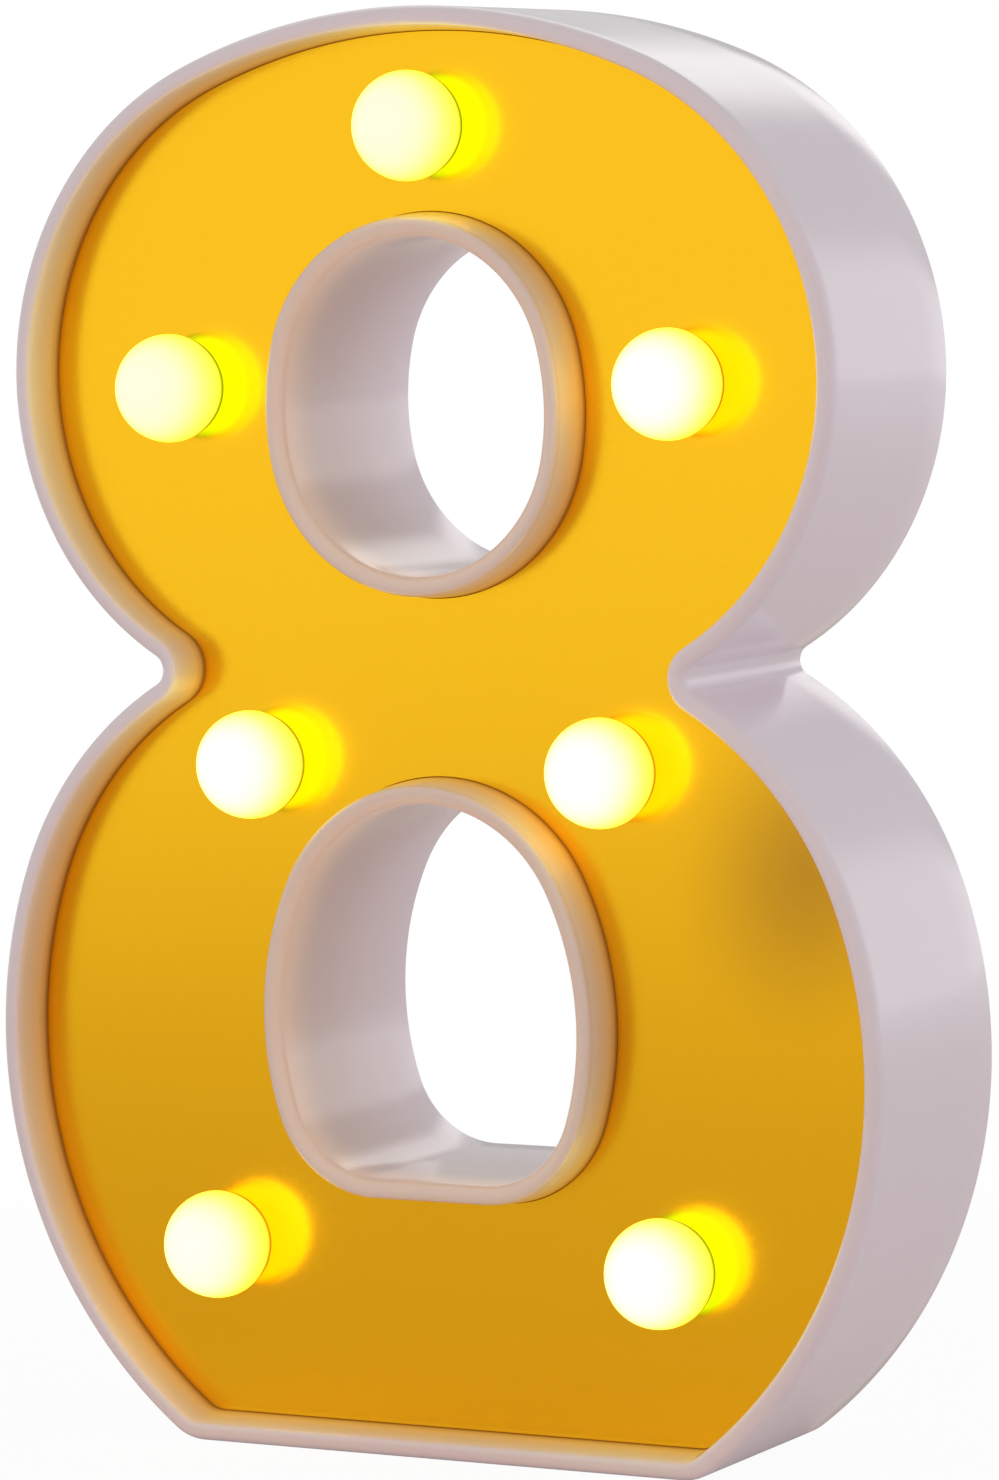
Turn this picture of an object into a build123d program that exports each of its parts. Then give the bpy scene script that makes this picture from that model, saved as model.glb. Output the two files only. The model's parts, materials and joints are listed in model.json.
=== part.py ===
"""Battery marquee light in the form of the figure eight, 220 mm tall, as its separate pieces.

The frame is X to the right seen from the front, Y from the front to the back and Z up, in millimetres.
The origin is the middle of the flat foot, half way through the depth of the housing.
"""
import os
from math import asin, atan2, cos, degrees, pi, radians, sin, sqrt, tan

from build123d import *

os.makedirs("parts", exist_ok=True)

# Outline of the figure eight, seen from the front
height = 220.0
upper_half_width = 70.4
lower_half_width = 76.0
foot_half_width = 44.2
upper_widest_share = 0.747
lower_widest_share = 0.281
upper_floor_share = 0.523
lower_roof_share = 0.570
upper_floor_width_share = 0.301
lower_roof_width_share = 0.234
upper_crown_share = 0.296
upper_floor_arc_share = 0.5
lower_roof_arc_share = 0.761
neck_radius = 2.5
foot_corner_radius = 8.0
least_corner_radius = 0.5

# The three bars above, between and below the two counters
top_bar = 34.3
middle_bar = 34.4
bottom_bar = 42.7
middle_bar_share = 0.5337

# Upper counter, the hole of the upper bowl
upper_counter_half_width = 22.3
upper_counter_widest_share = 0.489
upper_counter_roof_share = 0.827
upper_counter_floor_share = 0.863

# Lower counter, the hole of the lower bowl, which has a flat floor
lower_counter_half_width = 25.4
lower_counter_widest_share = 0.419
lower_counter_floor_width_share = 0.374
lower_counter_roof_share = 0.660
lower_counter_floor_share = 0.732

# Housing
housing_depth = 40.0
wall = 2.3
lip = 2.9
lip_outer_round = 1.9
lip_inner_round = 0.9
recess_depth = 7.75
recess_draft = 0.8
web = 2.0
collar_outer_radius = 8.0
collar_bore_radius = 6.9
collar_height = 2.0
overrun = 1.0

# Mirror sheet in the recess
sheet = 0.9
sheet_gap = 0.15
sheet_hole_radius = 5.85

# Ball caps: places as shares of the bowl's half width and of the height, clockwise from the top
bulb_height_shares = (0.919, 0.742, 0.480, 0.1405)
bulb_upper_side_share = 0.609
bulb_waist_side_share = 0.429
bulb_lower_side_share = 0.505
ball_radius = 8.3
ball_set_back = 1.75
cap_wall = 1.0
neck_outer_radius = 5.6
neck_bore_radius = 4.4
web_hole_radius = 5.75
barb_radius = 6.25
barb_gap = 0.2
barb_length = 1.3
neck_tail = 1.3
neck_slit = 1.0

# Diodes and the plugs that hold them
diode_radius = 2.5
diode_length = 8.6
diode_rim_radius = 2.9
diode_rim = 1.0
leg_pitch = 2.54
leg_width = 0.5
plug_gap = 0.1
plug_flange_radius = 6.4
plug_flange = 1.3
plug_length = 3.1

# Insulated leads, which run behind the diodes
lead_radius = 0.6
solder_gap = 0.05
return_wire_behind_plug = 2.0
supply_wire_behind_plug = 4.6
diode_run_half = 6.0
bend_share = 0.45
lead_loop_rise = 4.0

# Back cover
cover = 2.6
cover_recess = 1.0
cover_gap = 0.2

# Screws of the back cover: places as shares of the bowl's half width and of the height
upper_screw_shares = ((0.37, 0.941), (0.86, 0.682))
lower_screw_shares = ((0.842, 0.327), (0.710, 0.091))
boss_radius = 3.1
boss_hole_radius = 1.45
boss_hole_depth = 11.5
gusset = 1.2
gusset_reach = 5.2
gusset_height = 7.0
screw_shank_radius = 1.4
screw_length = 10.0
screw_head_radius = 2.8
screw_head = 1.2
screw_clear_radius = 1.7
screw_sink_gap = 0.3

# Keyhole for hanging the light on a screw
keyhole_height_share = 0.914
keyhole_radius = 4.0
keyhole_slot_radius = 2.0
keyhole_slot_length = 6.5

# Cells, AA size, and their well
cell_radius = 7.25
cell_length = 50.5
cell_nub_radius = 2.75
cell_nub = 1.3
cell_edge = 0.6
cell_seat_gap = 0.3
cell_side_gap = 0.5
well_wall = 1.3
well_bottom = 4.3
well_floor_depth = 14.8
well_rib = 1.6
well_rib_height = 3.4

# Contacts of the well
contact = 0.4
contact_half_width = 5.0
dimple_height = 1.0
dimple_radius = 2.4
dimple_tip_radius = 1.2
touch_gap = 0.05
tab_half_width = 1.5
tab_reach = 3.0
tab_slot_gap = 0.15
spring_wire_radius = 0.35
spring_wide_radius = 4.0
spring_narrow_radius = 2.6
spring_length = 6.0
spring_turn_count = 4
biarc_count_per_turn = 2
sample_count_per_turn = 16

# Door of the well, on two pins along its lower edge
door = 1.6
door_shelf = 1.4
door_gap = 0.25
door_seat_gap = 0.05
barrel_radius = 1.1
barrel_room = 0.4
hinge_pin_radius = 0.7
hinge_pin_length = 1.2
hinge_clearance = 0.06
hinge_hole_spare = 0.3
tongue_half_width = 6.0
tongue_length = 9.0
tongue_slit = 0.8
grip_radius = 5.0
grip_depth = 0.7
nose = 0.15
nose_height = 0.8

# Slide switch
switch_side_share = 0.658
switch_height_share = 0.300
switch_travel = 4.0
bracket = 0.5
bracket_half_width = 3.0
bracket_half_length = 11.0
bracket_hole_spacing = 17.6
bracket_hole_radius = 1.1
can_half_width = 2.9
can_half_length = 6.35
can_depth = 5.0
pocket_depth = 2.6
knob_half_width = 1.9
knob_half_length = 2.0
knob_gap = 0.2
knob_root_gap = 0.15
knob_set_back = 0.2
knob_groove = 0.4
knob_groove_pitch = 1.0
slot_side_gap = 0.3
slot_end_gap = 0.3
terminal_width = 0.8
terminal = 0.4
terminal_length = 3.2
terminal_pitch = 4.0
small_screw_shank_radius = 0.9
small_screw_hole_radius = 0.95
small_screw_length = 2.2
small_screw_head_radius = 1.7
small_screw_head = 0.9
small_screw_hole_depth = 1.9

# Resistor between the switch and the supply wire
resistor_radius = 1.15
resistor_length = 6.3
resistor_waist_radius = 0.95
resistor_cap = 1.4
resistor_leg_radius = 0.3
resistor_drop = 2.5
resistor_bend = 0.9

# Planes across the depth
front = -housing_depth / 2
back = housing_depth / 2
sheet_front = front + recess_depth
web_front = sheet_front + sheet
web_back = web_front + web
ball_depth = front + ball_set_back
neck_end = web_back + barb_gap + barb_length + neck_tail
plug_front = neck_end + plug_gap
plug_back = plug_front + plug_flange
diode_base = plug_back - diode_rim
return_depth = plug_back + return_wire_behind_plug
supply_depth = plug_back + supply_wire_behind_plug
cover_back = back - cover_recess
cover_front = cover_back - cover
door_front = cover_back - door
well_floor = cover_front - well_floor_depth
cell_depth = well_floor + cell_seat_gap + cell_radius

# The well, whose width holds a cell, a dimple, a spring and two contacts
well_half_length = (cell_length + dimple_height + touch_gap + spring_length + 2 * contact) / 2 + touch_gap
well_low = well_bottom + well_wall
well_high = well_low + 4 * cell_radius + 3 * cell_side_gap
lower_cell_height = well_low + cell_side_gap + cell_radius
upper_cell_height = lower_cell_height + 2 * cell_radius + cell_side_gap
well_mid = (well_low + well_high) / 2
plate_face = well_half_length - contact
nub_tip = plate_face - dimple_height - touch_gap
cell_base = nub_tip - cell_length

# The door's edges and its hinge line
door_half_length = well_half_length + door_shelf
door_low = well_low - door_shelf + door_gap
door_high = well_high + door_shelf
hinge_height = door_low + barrel_radius
hinge_depth = cover_back - barrel_radius

# The switch's place
switch_x = switch_side_share * lower_half_width
switch_z = switch_height_share * height

# Places of the seven bulbs, clockwise from the top, in X and Z
upper_x = bulb_upper_side_share * upper_half_width
waist_x = bulb_waist_side_share * upper_half_width
lower_x = bulb_lower_side_share * lower_half_width
top_z, upper_z, waist_z, lower_z = [share * height for share in bulb_height_shares]
bulbs = [(0, top_z), (upper_x, upper_z), (waist_x, waist_z), (lower_x, lower_z)]
bulbs += [(-lower_x, lower_z), (-waist_x, waist_z), (-upper_x, upper_z)]

# Order in which the two leads pass the bulbs, from the lower left over the top to the lower right
lead_order = (4, 5, 6, 0, 1, 2, 3)


def screw_places():
    """Places of the nine cover screws in X and Z."""
    places = [(0, middle_bar_share * height)]
    bowls = ((upper_half_width, upper_screw_shares), (lower_half_width, lower_screw_shares))
    for half_width, shares in bowls:
        for across, up in shares:
            for side in (-1, 1):
                places.append((side * across * half_width, up * height))
    return places


def quarter(span, rise, share):
    """Turn and radius of the end arc, then of the side arc, that together span and rise so much.

    The share places the joint of the two arcs between the least and the greatest turn that both can have.
    """
    square = pi / 2
    least = max(0, square - 2 * atan2(span, rise))
    greatest = min(square, 2 * atan2(rise, span))
    turn = least + share * (greatest - least)
    s = sin(turn)
    c = cos(turn)
    both = s * c - (1 - s) * (1 - c)
    end = (c * span - (1 - s) * rise) / both
    side = (s * rise - (1 - c) * span) / both
    return (end, degrees(turn)), (side, degrees(square - turn))


def arc_chain(start, heading, arcs):
    """Edges of arcs that follow each other smoothly, each given by its radius and its turn to the right."""
    edges = []
    at = Vector(*start)
    way = Vector(*heading)
    for radius, turn in arcs:
        edge = JernArc(at, way, radius, -turn)
        edges.append(edge)
        at = edge @ 1
        way = edge % 1
    return edges


def both_sides(edges):
    """Face of a form that is alike left and right, from the edges of its right side, top to bottom."""
    outline = list(edges) + [mirror(edge, about=Plane.YZ) for edge in edges]
    for end in (edges[0] @ 0, edges[-1] @ 1):
        if end.X > least_corner_radius:
            outline.append(Line((-end.X, end.Y), (end.X, end.Y)))
    return make_face(outline)


def inner_arcs(arcs, inset):
    """The same arcs, drawn in by an inset."""
    return [(radius - inset, turn) for radius, turn in arcs]


def rounded_form(levels, half_width, flats, shares, inset):
    """Face whose sides are two arcs above its widest line and two below.

    The levels are its top, widest line and bottom, the flats the half lengths of its straight roof and floor,
    and the shares place the joints of its arcs.
    """
    top, widest, bottom = levels
    roof_end, roof_side = quarter(half_width - flats[0], top - widest, shares[0])
    floor_end, floor_side = quarter(half_width - flats[1], widest - bottom, shares[1])
    arcs = inner_arcs([roof_end, roof_side, floor_side, floor_end], inset)
    return both_sides(arc_chain((flats[0], top - inset), (1, 0), arcs))


def upper_bowl(inset):
    """Upper bowl of the outline, whose floor is hidden in the neck."""
    levels = (height, upper_widest_share * height, upper_floor_share * height)
    flats = (0, upper_floor_width_share * upper_half_width)
    return rounded_form(levels, upper_half_width, flats, (upper_crown_share, upper_floor_arc_share), inset)


def lower_bowl(inset):
    """Lower bowl of the outline: its roof is hidden in the neck and its sides run down to the flat foot."""
    widest = lower_widest_share * height
    roof = lower_roof_share * height
    flat = lower_roof_width_share * lower_half_width
    arcs = inner_arcs(quarter(lower_half_width - flat, roof - widest, lower_roof_arc_share), inset)
    draw_in = lower_half_width - foot_half_width
    flank = (draw_in ** 2 + widest ** 2) / (2 * draw_in) - inset
    arcs.append((flank, degrees(asin((widest - inset) / flank))))
    return both_sides(arc_chain((flat, roof - inset), (1, 0), arcs))


def body_face(inset):
    """The whole figure eight, drawn in by an inset all round, without its counters."""
    bowls = [upper_bowl(inset), lower_bowl(inset)]
    face = bowls[0] + bowls[1]
    known = [vertex.center() for bowl in bowls for vertex in bowl.vertices()]
    necks = [v for v in face.vertices() if all((v.center() - place).length > touch_gap for place in known)]
    face = fillet(necks, neck_radius + inset)
    feet = face.vertices().group_by(Axis.Y)[0]
    return fillet(feet, max(foot_corner_radius - inset, least_corner_radius))


def upper_counter(grow):
    """Face of the upper counter, grown by so much all round."""
    bottom = middle_bar_share * height + middle_bar / 2
    top = height - top_bar
    levels = (top, bottom + upper_counter_widest_share * (top - bottom), bottom)
    shares = (upper_counter_roof_share, upper_counter_floor_share)
    return rounded_form(levels, upper_counter_half_width, (0, 0), shares, -grow)


def lower_counter(grow):
    """Face of the lower counter, grown by so much all round."""
    bottom = bottom_bar
    top = middle_bar_share * height - middle_bar / 2
    levels = (top, bottom + lower_counter_widest_share * (top - bottom), bottom)
    flats = (0, lower_counter_floor_width_share * lower_counter_half_width)
    shares = (lower_counter_roof_share, lower_counter_floor_share)
    return rounded_form(levels, lower_counter_half_width, flats, shares, -grow)


def slab(face, near, far):
    """Solid of a face drawn in X and Z, from one depth to another."""
    return extrude(Plane.XZ.offset(-near) * face, amount=near - far)


def drafted(face_at, near, far, near_inset, far_inset):
    """Solid between a form at one depth and the same form at another inset further back."""
    return loft([Plane.XZ.offset(-near) * face_at(near_inset), Plane.XZ.offset(-far) * face_at(far_inset)],
                ruled=True)


def ring(inset, near, far):
    """Solid between the outer wall and the counters, as far from each of them as the inset."""
    return slab(body_face(inset), near, far) - slab(upper_counter(inset), near, far) \
        - slab(lower_counter(inset), near, far)


def post(place, radius, near, far):
    """Round bar along Y at a place in X and Z."""
    return slab(Pos(*place) * Circle(radius), near, far)


def block(low, high):
    """Box between two opposite corners."""
    size = [b - a for a, b in zip(low, high)]
    middle = [(a + b) / 2 for a, b in zip(low, high)]
    return Pos(*middle) * Box(*size)


def turned(points_and_arcs):
    """Solid of revolution about Y from edges drawn in the plane of radius and depth."""
    return revolve(make_face(points_and_arcs), Axis.Y)


def stepped(outline):
    """Turned solid whose profile has only straight edges."""
    return turned([Polyline(*outline, close=True)])


def smooth_path(points):
    """Straight runs joined by arcs as large as their shorter run allows, and the arcs' radii."""
    points = [Vector(*point) for point in points]
    radii = []
    for before, corner, after in zip(points, points[1:], points[2:]):
        turn = (corner - before).get_angle(after - corner)
        shorter = min((corner - before).length, (after - corner).length)
        radii.append(bend_share * shorter / tan(radians(turn) / 2))
    return FilletPolyline(*points, radius=radii), radii


def tube(path, radius):
    """Round wire along a path."""
    start = Plane(origin=path @ 0, z_dir=path % 0)
    return sweep(start * Circle(radius), path=path)


def save(solid, name):
    """Write one node, and report its volume."""
    solid.label = name
    export_step(solid, os.path.join("parts", name + ".step"))
    print(name, "volume", round(solid.volume, 1), "solids", len(solid.solids()))


def front_shell():
    """Moulded housing: outer wall, rounded lip, recessed web, counter walls, bosses, gussets and collars."""
    shell = slab(body_face(0), front, back)
    for counter in (upper_counter, lower_counter):
        shell -= slab(counter(0), front - overrun, back + overrun)
    shell = fillet(edges_at(shell, front), lip_outer_round)
    outer = edges_at(shell, front)
    shell -= recess()
    inner = [edge for edge in edges_at(shell, front) if all(
        (edge.center() - known.center()).length > touch_gap for known in outer)]
    shell = fillet(inner, lip_inner_round)
    shell -= ring(wall, web_back, back + overrun)
    for place in screw_places():
        shell += boss(place)
    for place in bulbs:
        shell += post(place, collar_outer_radius, web_back - web, web_back + collar_height)
    for place in bulbs:
        shell -= post(place, collar_bore_radius, web_back, web_back + collar_height + overrun)
        shell -= post(place, web_hole_radius, web_front - overrun, web_back + overrun)
    for place in screw_places():
        shell -= post(place, boss_hole_radius, cover_front - boss_hole_depth, cover_front + overrun)
    return shell


def edges_at(solid, depth):
    """Edges that lie at one depth."""
    return [edge for edge in solid.edges() if abs(edge.center().Y - depth) < touch_gap]


def recess():
    """Space in front of the web, which narrows a little towards it."""
    space = drafted(body_face, front, web_front, lip, lip + recess_draft)
    for counter in (upper_counter, lower_counter):
        space -= drafted(counter, front, web_front, lip, lip + recess_draft)
    return space + ring(lip, front - overrun, front)


def boss(place):
    """Screw boss on the web, stiffened by a cross of two gussets."""
    x, z = place
    low = web_back - web / 2
    solid = post(place, boss_radius, low, cover_front)
    tall = web_back + gusset_height
    solid += block((x - gusset_reach, low, z - gusset / 2), (x + gusset_reach, tall, z + gusset / 2))
    solid += block((x - gusset / 2, low, z - gusset_reach), (x + gusset / 2, tall, z + gusset_reach))
    return solid


def face_panel():
    """Mirror sheet with the same outline as the recess, the counters and the bulb holes cut out."""
    # The sheet lies where the recess has narrowed by almost its whole draft
    inset = lip + recess_draft + sheet_gap
    panel = ring(inset, sheet_front, web_front)
    for place in bulbs:
        panel -= post(place, sheet_hole_radius, sheet_front - overrun, web_front + overrun)
    return panel


def bulb_cap():
    """Hollow ball with a neck that snaps through the web, at X = 0 and Z = 0."""
    pole = ball_depth - ball_radius
    inner_radius = ball_radius - cap_wall
    shoulder = ball_depth + sqrt(ball_radius ** 2 - neck_outer_radius ** 2)
    mouth = ball_depth + sqrt(inner_radius ** 2 - neck_bore_radius ** 2)
    barb_front = web_back + barb_gap
    barb_back = barb_front + barb_length
    outer = ThreePointArc((0, pole), (ball_radius, ball_depth), (neck_outer_radius, shoulder))
    inner = ThreePointArc((0, pole + cap_wall), (inner_radius, ball_depth), (neck_bore_radius, mouth))
    neck = Polyline(
        (neck_outer_radius, shoulder), (neck_outer_radius, barb_front), (barb_radius, barb_front),
        (neck_outer_radius, barb_back), (neck_outer_radius, neck_end), (neck_bore_radius, neck_end),
        (neck_bore_radius, mouth))
    axis = Line((0, pole), (0, pole + cap_wall))
    cap = turned([outer, neck, inner, axis])
    slit_front = web_back + barb_gap / 2
    slit = block((-barb_radius - overrun, slit_front, -neck_slit / 2),
                 (barb_radius + overrun, neck_end + overrun, neck_slit / 2))
    return cap - slit


def diode(across):
    """Five millimetre diode, its two legs side by side along the direction given in X and Z."""
    tip = diode_base - diode_length
    quarter_turn = degrees(pi / 2)
    dome = JernArc((0, tip), (1, 0), diode_radius, quarter_turn)
    rim_front = diode_base - diode_rim
    sides = Polyline(
        (diode_radius, tip + diode_radius), (diode_radius, rim_front), (diode_rim_radius, rim_front),
        (diode_rim_radius, diode_base), (0, diode_base), (0, tip))
    solid = turned([dome, sides])
    half = leg_width / 2
    for side, end in ((1, supply_depth), (-1, return_depth)):
        x = side * across[0] * leg_pitch / 2
        z = side * across[1] * leg_pitch / 2
        far = end - lead_radius - solder_gap
        solid += block((x - half, diode_base - diode_rim / 2, z - half), (x + half, far, z + half))
    return solid


def diode_plug():
    """Plug that fills the neck's bore and holds the diode by its rim."""
    sleeve = neck_bore_radius - plug_gap
    bore = diode_radius + plug_gap
    seat = diode_rim_radius + plug_gap
    seat_front = diode_base - diode_rim - solder_gap
    return stepped([
        (bore, plug_front - plug_length), (sleeve, plug_front - plug_length), (sleeve, plug_front),
        (plug_flange_radius, plug_front), (plug_flange_radius, plug_back), (seat, plug_back),
        (seat, seat_front), (bore, seat_front)])


def run_directions():
    """Direction of the leads at each bulb, along the chord between its neighbours on the leads."""
    directions = [None] * len(bulbs)
    for step, index in enumerate(lead_order):
        before = bulbs[lead_order[max(step - 1, 0)]]
        after = bulbs[lead_order[min(step + 1, len(lead_order) - 1)]]
        chord = Vector(after[0] - before[0], after[1] - before[1])
        directions[index] = chord.normalized()
    return directions


def across_runs():
    """Direction square to the leads at each bulb, in X and Z, on which the two legs lie."""
    return [(-way.Y, way.X) for way in run_directions()]


def bus_wire(side, depth):
    """Insulated lead that passes over one leg of each diode in turn."""
    points = []
    for index in lead_order:
        for step in (-diode_run_half, diode_run_half):
            x, z = bus_point(side, index, step)
            points.append((x, depth, z))
    path, radii = smooth_path(points)
    print("bend radii", [round(radius, 1) for radius in radii])
    return tube(path, lead_radius)


def back_cover():
    """Rear plate with the cell well, the door's pocket, the keyhole, the switch slot and the screw holes."""
    inset = wall + cover_gap
    plate = ring(inset, cover_front, cover_back)
    plate += block((-well_half_length - well_wall, well_floor - well_wall, well_bottom),
                   (well_half_length + well_wall, cover_front, well_high + well_wall))
    plate -= block((-well_half_length, well_floor, well_low), (well_half_length, back, well_high))
    rib_half_length = plate_face - well_rib
    plate += block((-rib_half_length, well_floor, well_mid - well_rib / 2),
                   (rib_half_length, well_floor + well_rib_height, well_mid + well_rib / 2))
    plate -= door_pocket()
    for z in (lower_cell_height, upper_cell_height):
        plate -= tab_slot(z)
    sink_radius = screw_head_radius + screw_sink_gap
    for place in screw_places():
        plate -= post(place, screw_clear_radius, cover_front - overrun, cover_back + overrun)
        plate -= post(place, sink_radius, cover_back - screw_head, cover_back + overrun)
    plate -= keyhole()
    return plate - switch_slot()


def door_pocket():
    """Room for the door, its barrel and its two hinge pins."""
    half = door_half_length + door_gap
    low = door_low - door_gap
    room = block((-half, door_front - door_seat_gap, low), (half, back, door_high + door_gap))
    room += block((-half, cover_front - overrun, low),
                  (half, back, hinge_height + barrel_radius + barrel_room))
    pins = Plane.YZ.offset(-half - hinge_pin_length - hinge_hole_spare) \
        * Pos(hinge_depth, hinge_height) * Circle(hinge_pin_radius + hinge_clearance)
    return room + extrude(pins, amount=2 * (half + hinge_pin_length + hinge_hole_spare))


def tab_slot(z):
    """Slot in the well's end wall for the solder tab of a contact."""
    thick = contact / 2 + tab_slot_gap
    wide = tab_half_width + tab_slot_gap
    return block((well_half_length - well_wall / 2, cell_depth - thick, z - wide),
                 (well_half_length + well_wall + overrun, cell_depth + thick, z + wide))


def keyhole():
    """Round hole for a screw head, with a narrower slot above it for the shank."""
    z = keyhole_height_share * height
    near = cover_front - overrun
    far = cover_back + overrun
    slot = post((0, z + keyhole_slot_length), keyhole_slot_radius, near, far)
    slot += block((-keyhole_slot_radius, near, z), (keyhole_slot_radius, far, z + keyhole_slot_length))
    return slot + post((0, z), keyhole_radius, near, far)


def switch_slot():
    """Slot for the switch's knob, with two blind holes for its screws."""
    half_wide = knob_half_width + slot_side_gap
    half_long = knob_half_length + switch_travel / 2 + slot_end_gap
    blind_end = cover_front + small_screw_hole_depth
    slot = block((switch_x - half_wide, cover_front - overrun, switch_z - half_long),
                 (switch_x + half_wide, cover_back + overrun, switch_z + half_long))
    for side in (-1, 1):
        place = (switch_x, switch_z + side * bracket_hole_spacing / 2)
        slot += post(place, small_screw_hole_radius, cover_front - overrun, blind_end)
    return slot


def battery_door():
    """Lid of the well: plate, barrel with two pins, snap tongue between two slits, and a finger grip."""
    lid = block((-door_half_length, door_front, hinge_height), (door_half_length, cover_back, door_high))
    barrel = Plane.YZ.offset(-door_half_length) * Pos(hinge_depth, hinge_height) * Circle(barrel_radius)
    lid += extrude(barrel, amount=2 * door_half_length)
    pin_half = door_half_length + hinge_pin_length
    pins = Plane.YZ.offset(-pin_half) * Pos(hinge_depth, hinge_height) * Circle(hinge_pin_radius)
    lid += extrude(pins, amount=2 * pin_half)
    lid += block((-tongue_half_width, door_front, door_high - overrun),
                 (tongue_half_width, door_front + nose_height, door_high + nose))
    for side in (-1, 1):
        near = side * tongue_half_width
        far = side * (tongue_half_width + tongue_slit)
        lid -= block((min(near, far), door_front - overrun, door_high - tongue_length),
                     (max(near, far), cover_back + overrun, door_high + overrun))
    grip = post((0, door_high - tongue_length - grip_radius - tongue_slit), grip_radius,
                cover_back - grip_depth, cover_back + overrun)
    return lid - grip


def cell(side, z):
    """AA cell along X, whose positive nub points to the given side."""
    can_top = cell_length - cell_nub
    profile = [
        (0, 0), (cell_radius - cell_edge, 0), (cell_radius, cell_edge), (cell_radius, can_top - cell_edge),
        (cell_radius - cell_edge, can_top), (cell_nub_radius, can_top), (cell_nub_radius, cell_length),
        (0, cell_length)]
    upright = stepped(profile)
    laid = Rot(0, 0, -degrees(pi / 2)) * upright
    solid = Pos(cell_base, cell_depth, z) * laid
    return solid if side > 0 else mirror(solid, about=Plane.YZ)


def dimple(z):
    """Pressed cone on a contact plate, on the side of the cell, at the well's right end."""
    length = dimple_height + contact / 2
    cone = stepped([(0, 0), (dimple_radius, 0), (dimple_tip_radius, length), (0, length)])
    return Pos(plate_face + contact / 2, cell_depth, z) * (Rot(0, 0, degrees(pi / 2)) * cone)


def contact_plate(low, high):
    """Flat contact against the well's right end wall, between two heights."""
    return block((plate_face, cell_depth - contact_half_width, low),
                 (well_half_length, cell_depth + contact_half_width, high))


def tab(z):
    """Solder tab through the end wall."""
    return block((well_half_length - contact / 2, cell_depth - contact / 2, z - tab_half_width),
                 (well_half_length + tab_reach, cell_depth + contact / 2, z + tab_half_width))


def contact_spring(side, z):
    """Conical spring from its plate to the cell's flat end, as one unbroken tube on arcs."""
    axial = spring_length - 2 * spring_wire_radius
    whole_angle = 2 * pi * spring_turn_count
    shrink = spring_narrow_radius - spring_wide_radius

    def point(share):
        radius = spring_wide_radius + shrink * share
        return Vector(axial * share, radius * cos(whole_angle * share), radius * sin(whole_angle * share))

    def heading(share):
        turned_by = whole_angle * share
        speed = (spring_wide_radius + shrink * share) * whole_angle
        return Vector(
            axial, shrink * cos(turned_by) - speed * sin(turned_by),
            shrink * sin(turned_by) + speed * cos(turned_by)).normalized()

    edges = []
    count = spring_turn_count * biarc_count_per_turn
    for index in range(count):
        near, far = index / count, (index + 1) / count
        edges += biarc(point(near), heading(near), point(far), heading(far))
    samples = spring_turn_count * sample_count_per_turn
    report_self_gap([point(index / samples) for index in range(samples + 1)])
    coil = tube(Wire(edges), spring_wire_radius)
    start = plate_face - spring_wire_radius
    placed = Pos(start, cell_depth, z) * (Rot(0, 0, degrees(pi)) * coil)
    return placed if side > 0 else mirror(placed, about=Plane.YZ)


def biarc(start, start_way, end, end_way):
    """Two arcs that join smoothly and meet both directions."""
    chord = end - start
    ways = start_way + end_way
    bend = 2 * (1 - start_way.dot(end_way))
    reach = (sqrt(chord.dot(ways) ** 2 + bend * chord.dot(chord)) - chord.dot(ways)) / bend
    joint = (start + end + (start_way - end_way) * reach) / 2
    first = TangentArc(start, joint, tangent=start_way)
    return [first, TangentArc(joint, end, tangent=first % 1)]


def report_self_gap(points):
    """Print the least gap between turns of a coil, measured on points along its centre line."""
    apart = sample_count_per_turn
    gaps = [(points[index + apart] - points[index]).length for index in range(len(points) - apart)]
    print("least gap between turns", round(min(gaps) - 2 * spring_wire_radius, 2))


def switch_body():
    """Slide switch: bracket with two ears, can with the knob's pocket, and three terminals."""
    x, z = switch_x, switch_z
    bracket_front = cover_front - bracket
    can_front = bracket_front - can_depth
    solid = block((x - bracket_half_width, bracket_front, z - bracket_half_length),
                  (x + bracket_half_width, cover_front, z + bracket_half_length))
    solid += block((x - can_half_width, can_front, z - can_half_length),
                   (x + can_half_width, bracket_front, z + can_half_length))
    half_wide = knob_half_width + knob_gap
    half_long = knob_half_length + switch_travel / 2 + knob_gap
    solid -= block((x - half_wide, bracket_front - pocket_depth, z - half_long),
                   (x + half_wide, cover_front + overrun, z + half_long))
    for side in (-1, 1):
        place = (x, z + side * bracket_hole_spacing / 2)
        solid -= post(place, bracket_hole_radius, bracket_front - overrun, cover_front + overrun)
    for step in (-1, 0, 1):
        pin_z = z + step * terminal_pitch
        solid += block((x - terminal_width / 2, can_front - terminal_length, pin_z - terminal / 2),
                       (x + terminal_width / 2, can_front, pin_z + terminal / 2))
    return solid


def switch_knob():
    """Sliding lever in its upper place, which is on, with ridges for the finger."""
    root = cover_front - bracket - pocket_depth + knob_root_gap
    tip = back - knob_set_back
    z = switch_z + switch_travel / 2
    lever = block((switch_x - knob_half_width, root, z - knob_half_length),
                  (switch_x + knob_half_width, tip, z + knob_half_length))
    for step in (-1, 0, 1):
        middle = z + step * knob_groove_pitch
        lever -= block((switch_x - knob_half_width - overrun, tip - knob_groove, middle - knob_groove / 2),
                       (switch_x + knob_half_width + overrun, tip + overrun, middle + knob_groove / 2))
    return lever


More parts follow.
